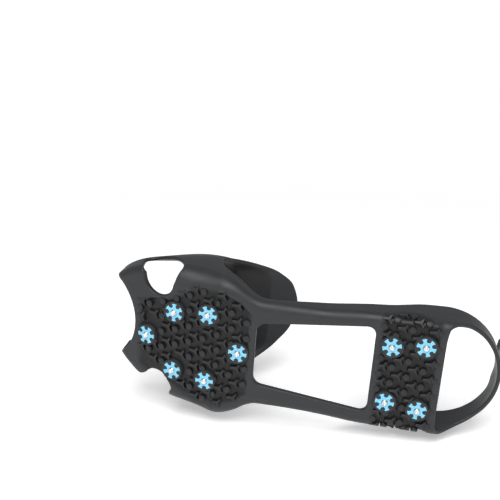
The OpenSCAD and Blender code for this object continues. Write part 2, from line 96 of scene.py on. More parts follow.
def smooth_step(value: np.ndarray) -> np.ndarray:
    """Eases a value from 0 to 1, and holds it outside.

    Args:
        value: Values to ease.

    Returns:
        The eased values.
    """
    held = np.clip(value, 0.0, 1.0)
    return held * held * (3.0 - 2.0 * held)


def soft_max(first: np.ndarray, second: np.ndarray, reach: float) -> np.ndarray:
    """Joins two margins with a fillet where they cross.

    Args:
        first: Margin of the first region, positive inside.
        second: Margin of the second region.
        reach: Size of the fillet.

    Returns:
        The margin of the joined region.
    """
    share = np.clip(0.5 + 0.5 * (first - second) / reach, 0.0, 1.0)
    return second + (first - second) * share + reach * share * (1.0 - share)


def soft_min(first: np.ndarray, second: np.ndarray, reach: float) -> np.ndarray:
    """Keeps what two regions share, with a rounded corner where they cross.

    Args:
        first: Margin of the first region, positive inside.
        second: Margin of the second region.
        reach: Size of the rounding.

    Returns:
        The margin of the shared region.
    """
    return -soft_max(-first, -second, reach)


def table_at(places: np.ndarray, points: tuple) -> np.ndarray:
    """The value at each place of straight lines through pairs of place and value."""
    return np.interp(places, [p[0] for p in points], [p[1] for p in points])


def soft_line(places: np.ndarray, points: tuple, blur: float = 5.0) -> np.ndarray:
    """A line through a few points with its corners rounded.

    Args:
        places: Where the line is wanted.
        points: Pairs of place and value, in rising order of place.
        blur: How far each side of a corner the rounding reaches.

    Returns:
        The line's value at each place.
    """
    shifts = np.linspace(-blur, blur, 5)
    return sum(table_at(places + s, points) for s in shifts) / len(shifts)


def to_segment(x: np.ndarray, y: np.ndarray, start: tuple, end: tuple) -> tuple:
    """Distance from points to a segment, and how far along it the nearest point lies.

    Args:
        x: First coordinate of the points.
        y: Second coordinate of the points.
        start: Start of the segment.
        end: End of the segment.

    Returns:
        The distances, and the shares of the segment's length.
    """
    dx, dy = end[0] - start[0], end[1] - start[1]
    share = np.clip(((x - start[0]) * dx + (y - start[1]) * dy) / (dx * dx + dy * dy), 0.0, 1.0)
    return np.hypot(x - start[0] - share * dx, y - start[1] - share * dy), share


def add_object(name: str, data: bpy.types.ID) -> bpy.types.Object:
    """Puts a new object with the given data into the scene."""
    made = bpy.data.objects.new(name, data)
    bpy.context.scene.collection.objects.link(made)
    return made


def finish_mesh(shape: bmesh.types.BMesh, name: str, smooth_angle: float = 38.0) -> bpy.types.Object:
    """Turns a shape in millimetres into an object in metres at the origin.

    Args:
        shape: The shape, which is freed.
        name: Name of the new object.
        smooth_angle: Edges sharper than this stay crisp, in degrees.

    Returns:
        The new object.
    """
    bmesh.ops.scale(shape, vec=(MM, MM, MM), verts=shape.verts)
    limit = math.radians(smooth_angle)
    for face in shape.faces:
        face.smooth = True
    for edge in shape.edges:
        edge.smooth = len(edge.link_faces) == 2 and edge.calc_face_angle(0.0) < limit
    mesh = bpy.data.meshes.new(name)
    shape.to_mesh(mesh)
    shape.free()
    return add_object(name, mesh)


def paint_hollow_shade(piece: bpy.types.Object, painted_shade_shares: list) -> None:
    """Keeps how deep in the tread each vertex lies, as the share of painted shade that darkens the rubber's
    colour in the hollows.

    Args:
        piece: The piece.
        painted_shade_shares: Share of painted shade, from 0 at the border's level to 1 on the tread's floor,
            for every vertex.
    """
    layer = piece.data.attributes.new(PAINTED_SHADE_DEPTH, "FLOAT", "POINT")
    layer.data.foreach_set("value", painted_shade_shares)


def report(piece: bpy.types.Object) -> None:
    """Logs a finished piece and its number of faces."""
    LOG.info("%s: %d faces", piece.name, len(piece.data.polygons))


def clothe(piece: bpy.types.Object, material: bpy.types.Material) -> None:
    """Gives a piece its material."""
    piece.data.materials.append(material)


# ------------------------------------------------------------------------------ boot form


@dataclass(frozen=True)
class BootForm:
    """The shape of the boot that the harness is stretched over.

    The skin of the form is laid out as a flat pattern: x runs along the sole's edge, with the
    round of the heel unrolled, and y runs from the centre of the sole round a side to the top.
    """

    sole_l: float = 290.0
    heel_r: float = 41.0
    waist_half: float = 38.5
    ball_half: float = 53.0
    heel_front: float = 88.0
    waist_start: float = 130.0
    waist_end: float = 167.0
    ball_at: float = 203.0
    toe_swing: float = 12.0
    swing_short: float = 5.0
    toe_close: float = 1.0
    toe_power: float = 2.15
    spring_at: float = 189.0
    spring_r: float = 240.0
    wall_t: float = 2.8
    pad_t: float = 4.5
    thin_from: float = 0.5
    thin_over: float = 6.0
    corner_r: float = 6.0
    soft_corner_at: float = 215.0
    soft_corner_reach: float = 34.0
    soft_corner_more: float = 8.5
    strap_h: float = 20.0
    hood_rear_top: float = 154.0
    instep_h: float = 104.0
    instep_half: float = 51.0
    ball_h: float = 78.0
    toe_h: float = 32.0
    foot_power: float = 3.0
    toe_cap_power: float = 1.5
    toe_cap_at: float = 260.0
    stud_out: float = 2.2
    mark_along: float = 184.3
    heel_top: float = 80.0
    lean_from: float = 33.0
    lean_ease: float = 10.0
    lean_deg: float = 14.0
    flat_y: float = 52.0
    corner_y: float = 62.0
    wall_y: float = 78.0
    top_y: float = 170.0
    heel_zone: float = 120.0
    even_out: float = 0.6
    widen_over_deg: float = 30.0

    @property
    def middle(self) -> float:
        """Place along the sole that lies at the frame's origin."""
        low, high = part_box("stud_ball_centre")
        return self.mark_along + (low.y + high.y) / 2.0 / MM

    @property
    def back_x(self) -> float:
        """Pattern place of the middle of the heel's back."""
        return self.heel_r - (self.heel_r + self.wall_t) * math.pi / 2.0

    def corner_at(self, x: np.ndarray) -> np.ndarray:
        """Radius of the corner between the sole and a side wall, softest where the ball straps leave."""
        bump = smooth_step(1.0 - np.abs(x - self.soft_corner_at) / self.soft_corner_reach)
        return self.corner_r + self.soft_corner_more * bump

    def corner_length(self, x: np.ndarray) -> np.ndarray:
        """Length round that corner."""
        return self.corner_at(x) * math.pi / 2.0

    def flat_length(self, x: np.ndarray) -> np.ndarray:
        """Length of the sole's flat face, from the middle line to the corner."""
        return self.half_at(np.maximum(x, self.heel_r)) + self.wall_t - self.corner_at(x)

    def thickness(self, along: np.ndarray, z: np.ndarray) -> np.ndarray:
        """Thickness of the rubber, from the pad's under the boot to the walls' beside it.

        Args:
            along: Places along the sole.
            z: Heights in the frame.

        Returns:
            The thicknesses.
        """
        up = z - self.stud_out - self.rise_at(along)
        return self.wall_t + (self.pad_t - self.wall_t) * (
            1.0 - smooth_step((up - self.thin_from) / self.thin_over))

    def half_at(self, along: np.ndarray) -> np.ndarray:
        """Half-width of the sole.

        Args:
            along: Places along the sole, in front of the heel's round.

        Returns:
            The half-widths.
        """
        waist = self.heel_r + (self.waist_half - self.heel_r) * self._ease(
            (along - self.heel_front) / (self.waist_start - self.heel_front))
        ball = self.waist_half + (self.ball_half - self.waist_half) * self._ease(
            (along - self.waist_end) / (self.ball_at - self.waist_end))
        reach = np.clip((along - self.ball_at) / (self.sole_l + self.toe_close - self.ball_at), 0.0, 1.0)
        toe = self.ball_half * (1.0 - reach ** self.toe_power) ** (1.0 / self.toe_power)
        return np.where(along < self.waist_end, waist, np.where(along < self.ball_at, ball, toe))

    @staticmethod
    def _ease(share: np.ndarray) -> np.ndarray:
        """A half-cosine ease from 0 to 1."""
        return (1.0 - np.cos(np.pi * np.clip(share, 0.0, 1.0))) / 2.0

    def swing_at(self, along: np.ndarray) -> np.ndarray:
        """Sideways swing of the sole's middle line towards the inner side."""
        past = np.maximum(0.0, along - self.ball_at)
        return self.toe_swing * past / (self.sole_l - self.swing_short - self.ball_at)

    def rise_at(self, along: np.ndarray) -> np.ndarray:
        """Rise of the sole towards the toe."""
        past = np.maximum(0.0, along - self.spring_at)
        return self.spring_r - np.sqrt(self.spring_r ** 2 - past ** 2)

    def top_at(self, along: np.ndarray) -> np.ndarray:
        """Height of the top of the foot above the sole."""
        share = np.clip((along - self.ball_at) / (self.sole_l - self.ball_at), 0.0, 1.0)
        toe = self.toe_h + (self.ball_h - self.toe_h) * np.sqrt(1.0 - share ** 2)
        rear = self.ball_h + (self.instep_h - self.ball_h) * (self.ball_at - along) / (
            self.ball_at - self.hood_rear_top)
        return np.where(along > self.ball_at, toe, rear)

    def arch_angle(self, y: np.ndarray) -> np.ndarray:
        """Angle round the foot's arch, from 0 at the wall's top to a quarter turn over the foot."""
        share = np.clip((np.abs(y) - self.wall_y) / (self.top_y - self.wall_y), 0.0, 1.0)
        return np.pi / 2.0 * (share - self.even_out * np.sin(2.0 * np.pi * share) / (2.0 * np.pi))

    def edge(self, x: np.ndarray, side: np.ndarray) -> tuple:
        """The sole's edge in plan.

        Args:
            x: Pattern places along the edge.
            side: 1 or -1 for each place.

        Returns:
            Across and along of the edge, and across and along of its outward direction.
        """
        turn = np.maximum(0.0, self.heel_r - x) / (self.heel_r + self.wall_t)
        ahead = np.maximum(x, self.heel_r)
        step = 0.5
        slope = (side * (self.half_at(ahead + step) - self.half_at(ahead - step))
                 + self.swing_at(ahead + step) - self.swing_at(ahead - step)) / (2.0 * step)
        bend = np.arctan(slope)
        heel = x < self.heel_r
        out_v = np.where(heel, side * np.cos(turn), side * np.cos(bend))
        out_u = np.where(heel, -np.sin(turn), -side * np.sin(bend))
        v = np.where(heel, self.heel_r * out_v, self.swing_at(ahead) + side * self.half_at(ahead))
        u = np.where(heel, self.heel_r + self.heel_r * out_u, ahead)
        return v, u, out_v, out_u

    def skin(self, x: np.ndarray, y: np.ndarray) -> np.ndarray:
        """Outer face of the rubber at pattern places.

        Args:
            x: Pattern places along the edge.
            y: Pattern places round the form, negative on the outer side.

        Returns:
            Points as rows of across, along and up.
        """
        side = np.where(y < 0.0, -1.0, 1.0)
        reach = np.abs(y)
        v, u, out_v, out_u = self.edge(x, side)
        corner_r = self.corner_at(x)
        start = self.wall_t - corner_r
        flat = np.clip(reach / self.flat_y, 0.0, 1.0)
        corner = np.clip((reach - self.flat_y) / (self.corner_y - self.flat_y), 0.0, 1.0) * np.pi / 2.0
        wall = np.clip((reach - self.corner_y) / (self.wall_y - self.corner_y), 0.0, 1.0)
        off = start + corner_r * np.sin(corner)
        up = corner_r * (1.0 - np.cos(corner)) + (self.strap_h - corner_r) * wall
        edge_v, edge_u = v + out_v * off, u + out_u * off
        centre_v = np.where(x < self.heel_r, 0.0, self.swing_at(x))
        centre_u = np.where(x < self.heel_r, edge_u, x)
        point_v = centre_v + (edge_v - centre_v) * flat
        point_u = centre_u + (edge_u - centre_u) * flat
        rise = self.rise_at(x)

        # round the foot in front of the arch, and straight up at the heel
        angle = self.arch_angle(y)
        toe_share = self._ease((x - self.ball_at) / (self.toe_cap_at - self.ball_at))
        power = 2.0 / (self.foot_power + (self.toe_cap_power - self.foot_power) * toe_share)
        cosine = np.cos(angle) ** power
        sine = np.sin(angle) ** power
        foot_half = self.ball_half + (self.instep_half - self.ball_half) * (self.ball_at - x) / (
            self.ball_at - self.hood_rear_top)
        wider = np.where(x < self.ball_at, foot_half - self.half_at(np.maximum(x, self.heel_r)), 0.0)
        wider = wider * smooth_step(angle / math.radians(self.widen_over_deg))
        foot_v = centre_v + (edge_v + side * wider - centre_v) * cosine
        foot_u = x + (edge_u - x) * cosine
        foot_up = self.strap_h + (self.top_at(x) - self.strap_h + self.wall_t) * sine
        share = np.clip((reach - self.wall_y) / (self.top_y - self.wall_y), 0.0, 1.0)
        heel_up = self.strap_h + (self.heel_top - self.strap_h) * share
        past = np.maximum(0.0, heel_up - self.lean_from)
        lean = np.tan(math.radians(self.lean_deg)) * np.where(
            past < self.lean_ease, past ** 2 / (2.0 * self.lean_ease), past - self.lean_ease / 2.0)
        above = reach > self.wall_y
        ahead = x > self.heel_zone
        point_v = np.where(above, np.where(ahead, foot_v, edge_v + out_v * lean), point_v)
        point_u = np.where(above, np.where(ahead, foot_u, edge_u + out_u * lean), point_u)
        up = np.where(above, np.where(ahead, foot_up, heel_up), up)
        return np.stack([point_v, point_u, up + rise], axis=-1)

    def from_girth(self, along: np.ndarray, girth: np.ndarray) -> np.ndarray:
        """Pattern y of a place that lies a given length round the form from the middle line.

        Args:
            along: Places along the sole.
            girth: Length round the form, negative on the outer side.

        Returns:
            The pattern's y.
        """
        flat_l, corner_l = self.flat_length(along), self.corner_length(along)
        reach = np.abs(girth)
        past = reach - flat_l
        wall_l = self.strap_h - self.corner_at(along)
        y = np.where(past < 0.0, reach / flat_l * self.flat_y,
                     np.where(past < corner_l,
                              self.flat_y + past / corner_l * (self.corner_y - self.flat_y),
                              self.corner_y + (past - corner_l) / wall_l * (self.wall_y - self.corner_y)))
        return np.where(girth < 0.0, -y, y)

    def to_frame(self, points: np.ndarray) -> np.ndarray:
        """From across, along and up to the frame, in millimetres."""
        across, along, up = points[..., 0], points[..., 1], points[..., 2]
        return np.stack([across, self.middle - along, up + self.stud_out], axis=-1)

    def frame_point(self, across: float, along: float, up: float) -> Vector:
        """One place on the sole, in the frame and in metres."""
        return Vector((across, self.middle - along, up + self.stud_out)) * MM


# ------------------------------------------------------------------------------ harness


@dataclass(frozen=True)
class HarnessPattern:
    """The outline of the rubber harness on the flat pattern of the boot form."""

    form: BootForm
    heel_edge: float = 39.5
    arch_rear: float = 88.0
    arch_front: float = 172.0
    arch_rear_half: float = 33.5
    arch_front_half: float = 23.8
    arch_shift: float = 1.3
    arch_corner: float = 6.5
    front_edge: float = 266.0
    front_arc_r: float = 40.0
    window_at: float = 248.0
    window_r: float = 12.0
    window_half: float = 43.0
    inner_window_top: tuple = (246.5, 56.5, 16.5)
    outer_window_top: tuple = (251.5, 56.5, 17.5)
    hood_front_top: float = 205.0
    front_sweep: float = 0.8
    inner_strap_front: float = 281.0
    outer_strap_front: float = 285.0
    band_high: float = 34.0
    tab_l: float = 36.0
    tab_w: float = 24.0
    tread_depth: float = 2.0
    tread_slope: float = 2.2
    tread_rim: float = 2.0
    heel_tread: tuple = (43.5, 83.5)
    heel_tread_up: float = 4.0
    heel_tread_swell: float = 8.0
    heel_tread_half: float = 24.0
    heel_tread_mid: float = 64.0
    wall_fillet: float = 9.0
    tab_fillet: float = 7.0
    band_fillet: float = 6.0
    heel_rounding: float = 2.0
    arc_rounding: float = 5.0
    hood_rounding: float = 3.0
    line_blur: float = 3.0
    arc_swing_share: float = 0.8
    strap_slope: float = 0.85
    strap_foot: float = 2.0
    wall_turn_deg: float = 10.0
    hood_foot_deg: float = -4.0
    far_out: float = -20.0
    inner_wall: tuple = ((-28, 34), (20, 33.5), (42, 33), (58, 31.5), (78, 22.5), (96, 19), (127, 16),
                         (146, 12), (162, 9), (178, 11), (192, 17), (300, 17))
    outer_wall: tuple = ((-28, 34), (20, 33.5), (42, 33), (58, 31.5), (78, 22), (96, 14), (116, 5),
                         (130, 0.5), (150, -0.5), (176, 0), (188, 3), (196, 8), (300, 8))
    band_foot: tuple = ((-28, 16), (8, 15.5), (22, 12), (32, 5), (38, -1), (41, -6), (44, -60))
    rear_edge: tuple = ((-10, 188), (-5, 193), (0, 201), (8, 207), (16, 208), (30, 201), (45, 187),
                        (60, 172), (75, 160), (90, 154))
    ball_tread: tuple = ((176, 30), (184, 37), (196, 43), (214, 45), (226, 38), (237, 31), (252, 30),
                         (262, 24))

    def height(self, x: np.ndarray, y: np.ndarray, points: np.ndarray) -> np.ndarray:
        """Length round the form from the middle of the sole's rounded corner, upwards.

        Args:
            x: Pattern places along the edge.
            y: Pattern places round the form.
            points: Skin points at those places.

        Returns:
            The lengths, negative on the sole.
        """
        form = self.form
        reach = np.abs(y)
        corner_l = form.corner_length(x)
        on_flat = (reach / form.flat_y - 1.0) * form.flat_length(x) - corner_l / 2.0
        on_corner = ((reach - form.flat_y) / (form.corner_y - form.flat_y) - 0.5) * corner_l
        on_wall = corner_l / 2.0 + points[..., 2] - form.rise_at(x) - form.corner_at(x)
        return np.where(reach < form.flat_y, on_flat, np.where(reach < form.corner_y, on_corner, on_wall))

    def margin(self, x: np.ndarray, y: np.ndarray) -> np.ndarray:
        """How far inside the rubber's outline a pattern place lies.

        Args:
            x: Pattern places along the edge.
            y: Pattern places round the form.

        Returns:
            The margins, negative where there is no rubber.
        """
        form = self.form
        points = form.skin(x, y)
        across, along = points[..., 0], points[..., 1]
        height = self.height(x, y, points)
        up = points[..., 2] - form.rise_at(x)
        below = np.minimum(0.0, up - form.strap_h) / form.strap_h
        turn = np.degrees(form.arch_angle(y)) + below * self.wall_turn_deg

        wall = np.where(y < 0.0, soft_line(x, self.outer_wall), soft_line(x, self.inner_wall)) - height
        strap = (x - soft_line(turn, self.rear_edge, self.line_blur)) * self.strap_slope
        strap = np.where(up > self.strap_foot, strap, self.far_out)
        rubber = np.where(x > form.heel_zone, soft_max(wall, strap, self.wall_fillet), wall)

        from_back = x - form.back_x
        tab_r = self.tab_w / 2.0
        tab_top = self.band_high + self.tab_l - tab_r
        tab = tab_r - to_segment(from_back, up, (0.0, tab_r), (0.0, tab_top))[0]
        rubber = np.where(x < form.heel_r, soft_max(rubber, tab, self.tab_fillet), rubber)

        pad_rear = along - self.heel_edge
        band = height - soft_line(x, self.band_foot, self.line_blur)
        heel = soft_min(rubber, soft_max(pad_rear, band, self.band_fillet), self.heel_rounding)
        rubber = np.where(x < form.heel_zone, heel, rubber)

        swing = float(form.swing_at(np.array(self.front_edge)))
        hollow = np.hypot(across - self.arc_swing_share * swing,
                          along - self.front_edge - self.front_arc_r) - self.front_arc_r
        angle = np.radians(np.maximum(0.0, turn))
        strap_front = np.where(y < 0.0, self.outer_strap_front, self.inner_strap_front)
        sweep = (1.0 - np.sin(angle)) ** self.front_sweep
        hood = self.hood_front_top + (strap_front - self.hood_front_top) * sweep - x
        rubber = np.where(x > form.ball_at, soft_min(rubber, hollow, self.arc_rounding), rubber)
        hooded = (x > form.heel_zone) & (turn > self.hood_foot_deg)
        rubber = np.where(hooded, soft_min(rubber, hood, self.hood_rounding), rubber)

        lean = math.atan2(self.arch_rear_half - self.arch_front_half, self.arch_front - self.arch_rear)
        sides = ((self.arch_rear, self.arch_rear_half), (self.arch_front, self.arch_front_half))
        half = table_at(along, sides)
        beside = (np.abs(across - self.arch_shift) - half) * math.cos(lean) + self.arch_corner
        beyond = np.abs(along - (self.arch_rear + self.arch_front) / 2.0) - (
            self.arch_front - self.arch_rear) / 2.0 + self.arch_corner
        opening = np.minimum(np.maximum(beside, beyond), 0.0) + np.hypot(
            np.maximum(beside, 0.0), np.maximum(beyond, 0.0)) - self.arch_corner
        rubber = np.where(np.abs(y) < form.corner_y, np.minimum(rubber, opening), rubber)

        offset = float(form.swing_at(np.array(self.window_at))) / 2.0
        girth = height + form.corner_length(x) / 2.0 + form.flat_length(x)
        inner = self._window(x, girth, (self.window_at, self.window_half - offset), self.inner_window_top)
        outer = self._window(x, girth, (self.window_at, self.window_half + offset), self.outer_window_top)
        return np.minimum(rubber, np.where(y < 0.0, outer, inner))

    def _window(self, x: np.ndarray, girth: np.ndarray, foot: tuple, top: tuple) -> np.ndarray:
        """Distance outside one side window.

        Args:
            x: Pattern places along the edge.
            girth: Lengths round the form from the middle line.
            foot: Centre of the window's foot on the sole, as x and girth.
            top: Centre of its top on the hood, and the radius there.

        Returns:
            The distances, negative in the window.
        """
        reach, share = to_segment(x, girth, foot, top[:2])
        return reach - (self.window_r + (top[2] - self.window_r) * share)

    def recess(self, x: np.ndarray, y: np.ndarray) -> np.ndarray:
        """Depth of the tread's floor below its smooth border at pattern places."""
        form = self.form
        points = form.skin(x, y)
        across, along = points[..., 0], points[..., 1]
        height = self.height(x, y, points)
        half = table_at(along, self.ball_tread) + self.tread_rim
        rear, front = self.ball_tread[0][0], self.ball_tread[-1][0]
        ball = np.minimum(half - np.abs(across), np.minimum(along - rear, front - along))
        from_mid = np.abs(along - self.heel_tread_mid) / self.heel_tread_half
        heel_half = self.heel_tread_up + self.heel_tread_swell * smooth_step(1.0 - from_mid)
        rear, front = self.heel_tread
        heel = np.minimum(heel_half - height, np.minimum(along - rear, front - along))
        depth = np.where(x > form.heel_zone, ball, heel) / self.tread_slope
        return self.tread_depth * smooth_step(depth)


@dataclass
class Harness:
    """The moulded rubber harness: heel pad, rails, forefoot pad, straps, hood, heel band and pull tab."""

    form: BootForm
    pattern: HarnessPattern
    step: float = 2.0
    relax_passes: int = 14
    settle_passes: int = 16
    rim_first: float = 0.3
    rim_second: float = 0.5
    rim_r: float = 1.1
    least_wall: float = 1.2
    small_island: int = 40
    snap_limit: float = 1.5
    toe_end: float = 290.0
    seam_foot: float = 38.4
    seam_lean: float = 0.24
    tab_seam_up: float = 37.0
    flex_from: float = 146.0
    flex_length: float = 24.6
    flex_lean_deg: float = 20.0

    def build(self) -> list:
        """Builds the harness as three pieces, split where its bodies meet.

        Returns:
            The harness, the heel band and the pull tab.
        """
        sheet = self._flat_pattern()
        self._relax(sheet)
        self._wrap(sheet)
        self._thicken(sheet)
        body, rest = self._cut(sheet, *self._band_seam())
        band, tab = self._cut(rest, *self._tab_seam())
        pieces = []
        for shape, name in ((body, "harness_body"), (band, "harness_heel_band"), (tab, "harness_pull_tab")):
            layer = shape.verts.layers.float["recess"]
            # Painted shade: the tread's recess depth sets how much the rubber's colour is darkened.
            painted_shade_shares = [v[layer] / self.pattern.tread_depth for v in shape.verts]
            piece = finish_mesh(shape, name, 60.0)
            paint_hollow_shade(piece, painted_shade_shares)
            report(piece)
            pieces.append(piece)
        return pieces

    def dress(self, pieces: list, rubber: bpy.types.Material) -> None:
        """Gives the pieces their material and bodies, and hides the CAD nodes they stand for.

        Args:
            pieces: The harness, the heel band and the pull tab.
            rubber: The rubber's material.
        """
        for piece in pieces:
            clothe(piece, rubber)
        body, band, tab = pieces
        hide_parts("heel_arch_frame", "forefoot_pad", "toe_hood")
        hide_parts("heel_band")
        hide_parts("pull_tab")
        lean = math.radians(self.flex_lean_deg)
        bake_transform(body, Body.HEEL_ARCH.value, Body.FOREFOOT.value,
                 start=self.form.frame_point(0.0, self.flex_from, 0.0),
                 end=self.form.frame_point(0.0, self.flex_from + self.flex_length * math.cos(lean),
                                           self.flex_length * math.sin(lean)))
        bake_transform(band, Body.HEEL_ARCH.value, Body.HEEL_BAND.value,
                 start=self.form.frame_point(0.0, self.seam_foot, 0.0),
                 end=self.form.frame_point(0.0, self.seam_foot - 22.0, 0.0))
        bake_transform(tab, Body.HEEL_BAND.value, Body.PULL_TAB.value,
                 start=self.form.frame_point(0.0, 0.0, self.tab_seam_up),
                 end=self.form.frame_point(0.0, 0.0, self.tab_seam_up + 12.0))

    def _flat_pattern(self) -> bmesh.types.BMesh:
        """Cuts the outline out of a flat grid.

        Returns:
            The flat pattern, with x and y as its coordinates.
        """
        form = self.form
        length = self.toe_end - form.back_x
        columns = round(length / self.step)
        rows = round(2.0 * form.top_y / self.step)
        sheet = bmesh.new()
        bmesh.ops.create_grid(sheet, x_segments=columns, y_segments=rows, size=0.5)
        bmesh.ops.scale(sheet, vec=(length, 2.0 * form.top_y, 1.0), verts=sheet.verts)
        bmesh.ops.translate(sheet, vec=(form.back_x + length / 2.0, 0.0, 0.0), verts=sheet.verts)
        centres = np.array([face.calc_center_median()[:2] for face in sheet.faces])
        inside = self.pattern.margin(centres[:, 0], centres[:, 1])
        outside = [face for face, depth in zip(list(sheet.faces), inside) if depth < 0.0]
        bmesh.ops.delete(sheet, geom=outside, context="FACES")
        while True:
            loose = [f for f in sheet.faces if sum(e.is_boundary for e in f.edges) > 2]
            pinched = [v for v in sheet.verts if sum(e.is_boundary for e in v.link_edges) > 2]
            loose += [v.link_faces[0] for v in pinched]
            if not loose:
                break
            bmesh.ops.delete(sheet, geom=list(set(loose)), context="FACES")
        self._drop_islands(sheet)
        return sheet

    def _drop_islands(self, sheet: bmesh.types.BMesh) -> None:
        """Deletes small islands of faces beside the largest."""
        left = set(sheet.faces)
        islands = []
        while left:
            seed = left.pop()
            island, queue = {seed}, [seed]
            while queue:
                for edge in queue.pop().edges:
                    for face in edge.link_faces:
                        if face in left:
                            left.discard(face)
                            island.add(face)
                            queue.append(face)
            islands.append(island)
        islands.sort(key=len)
        spare = [face for island in islands[:-1] if len(island) < self.small_island for face in island]
        bmesh.ops.delete(sheet, geom=spare, context="FACES")

    def _relax(self, sheet: bmesh.types.BMesh) -> None:
        """Slides the rim onto the outline and evens out the faces behind it."""
        form = self.form
        eps = 1e-4
        on_top = {v for v in sheet.verts if abs(abs(v.co.y) - form.top_y) < eps}
        on_back = {v for v in sheet.verts if abs(v.co.x - form.back_x) < eps}
        seam = on_top | on_back
        rim = [v for v in sheet.verts if v.is_boundary and v not in seam]
        ends = [v for v in seam if any(e.is_boundary and e.other_vert(v) not in seam for e in v.link_edges)]
        beside = {v: [e.other_vert(v) for e in v.link_edges if e.is_boundary] for v in rim}
        inner = [v for v in sheet.verts if not v.is_boundary]
        for _ in range(self.relax_passes):
            slid = {v: (v.co + sum((o.co for o in beside[v]), Vector()) / len(beside[v])) / 2.0 for v in rim}
            for v, place in slid.items():
                v.co = place
            self._snap(rim, 1.0, 1.0)
            self._snap([v for v in ends if v in on_top], 1.0, 0.0)
            self._snap([v for v in ends if v in on_back], 0.0, 1.0)
            bmesh.ops.smooth_vert(sheet, verts=inner, factor=0.5, use_axis_x=True, use_axis_y=True)
        for _ in range(self.settle_passes):
            bmesh.ops.smooth_vert(sheet, verts=inner, factor=0.6, use_axis_x=True, use_axis_y=True)

    def _snap(self, verts: list, free_x: float, free_y: float) -> None:
        """Moves vertices onto the outline along its slope.

        Args:
            verts: The vertices.
            free_x: 1 if they may move along x, or 0.
            free_y: 1 if they may move along y, or 0.
        """
        if not verts:
            return
        x = np.array([v.co.x for v in verts])
        y = np.array([v.co.y for v in verts])
        away, limit = 0.05, self.snap_limit
        margin = self.pattern.margin
        for _ in range(3):
            depth = margin(x, y)
            slope_x = free_x * (margin(x + away, y) - margin(x - away, y)) / (2.0 * away)
            slope_y = free_y * (margin(x, y + away) - margin(x, y - away)) / (2.0 * away)
            steep = np.maximum(slope_x ** 2 + slope_y ** 2, 0.05)
            x = x - np.clip(depth * slope_x / steep, -limit, limit)
            y = y - np.clip(depth * slope_y / steep, -limit, limit)
        for v, new_x, new_y in zip(verts, x, y):
            v.co.x, v.co.y = new_x, new_y

    def _wrap(self, sheet: bmesh.types.BMesh) -> None:
        """Wraps the flat pattern round the boot form and welds it over the foot and behind the heel."""
        x = np.array([v.co.x for v in sheet.verts])
        y = np.array([v.co.y for v in sheet.verts])
        depth = self.pattern.recess(x, y)
        layer = sheet.verts.layers.float.new("recess")
        points = self.form.to_frame(self.form.skin(x, y))
        for v, point, deep in zip(sheet.verts, points, depth):
            v.co = point
            v[layer] = deep
        bmesh.ops.remove_doubles(sheet, verts=sheet.verts, dist=0.02)
        bmesh.ops.recalc_face_normals(sheet, faces=sheet.faces)
        sheet.normal_update()
        bottom = min(sheet.faces, key=lambda f: f.calc_center_median().z)
        if bottom.normal.z > 0.0:
            bmesh.ops.reverse_faces(sheet, faces=sheet.faces)
            sheet.normal_update()

    def _thicken(self, sheet: bmesh.types.BMesh) -> None:
        """Gives the sheet its wall thickness and a rounded rim."""
        form = self.form
        layer = sheet.verts.layers.float["recess"]
        rims = []
        region = list(sheet.faces)
        for width in (self.rim_first, self.rim_second):
            made = bmesh.ops.inset_region(sheet, faces=region, use_boundary=True, use_even_offset=False,
                                          thickness=width)
            rims.append(made["faces"])
            ring = set(made["faces"])
            region = [f for f in region if f.is_valid and f not in ring]
        sheet.verts.index_update()
        edge = {v for v in sheet.verts if v.is_boundary}
        first = {v for f in rims[0] for v in f.verts} - edge
        sheet.normal_update()
        normals = {v: self._steady_normal(v) for v in sheet.verts}
        r = self.rim_r
        drop_first = r - math.sqrt(r * r - (r - self.rim_first) ** 2)
        places = {}
        for v in sheet.verts:
            along = form.middle - v.co.y
            thick = float(form.thickness(np.array(along), np.array(v.co.z)))
            deep = min(v[layer], thick - self.least_wall)
            v[layer] = deep
            drop = r if v in edge else drop_first if v in first else 0.0
            places[v] = (v.co - normals[v] * (drop + deep), v.co - normals[v] * (thick - drop))
        made = bmesh.ops.extrude_face_region(sheet, geom=list(sheet.faces), use_keep_orig=True)
        fresh = [g for g in made["geom"] if isinstance(g, bmesh.types.BMVert)]
        nearest = {tuple(round(c, 5) for c in v.co): v for v in places}
        for v in fresh:
            v.co = places[nearest[tuple(round(c, 5) for c in v.co)]][0]
        for v, (_, inner) in places.items():
            v.co = inner
        bmesh.ops.recalc_face_normals(sheet, faces=sheet.faces)
        if sheet.calc_volume(signed=True) < 0.0:
            bmesh.ops.reverse_faces(sheet, faces=sheet.faces)

    @staticmethod
    def _steady_normal(vert: bmesh.types.BMVert) -> Vector:
        """A vertex's normal, or its neighbours' where a sliver of a face has turned it."""
        around = sum((edge.other_vert(vert).normal for edge in vert.link_edges), Vector()).normalized()
        return vert.normal.copy() if vert.normal.dot(around) > 0.7 else around

    def _band_seam(self) -> tuple:
        """Point and normal of the slanted cut between the heel pad and the heel band."""
        point = Vector((0.0, self.form.middle - self.seam_foot, self.form.stud_out))
        return point, Vector((0.0, 1.0, self.seam_lean)).normalized()

    def _tab_seam(self) -> tuple:
        """Point and normal of the level cut between the heel band and the pull tab."""
        return Vector((0.0, 0.0, self.form.stud_out + self.tab_seam_up)), Vector((0.0, 0.0, 1.0))

    def _cut(self, shape: bmesh.types.BMesh, point: Vector, normal: Vector) -> tuple:
        """Cuts a shape in two with a plane and closes both cuts.

        Args:
            shape: The shape, which is freed.
            point: A point of the plane.
            normal: The plane's normal.

        Returns:
            The part behind the plane and the part in front of it.
        """
        halves = []
        for keep_front in (False, True):
            half = shape.copy()
            made = bmesh.ops.bisect_plane(
                half, geom=[*half.verts, *half.edges, *half.faces], dist=1e-4, plane_co=point,
                plane_no=normal, clear_outer=not keep_front, clear_inner=keep_front)
            rim = [g for g in made["geom_cut"] if isinstance(g, bmesh.types.BMEdge) and g.is_boundary]
            bmesh.ops.holes_fill(half, edges=rim, sides=0)
            halves.append(half)
        shape.free()
        return halves[0], halves[1]


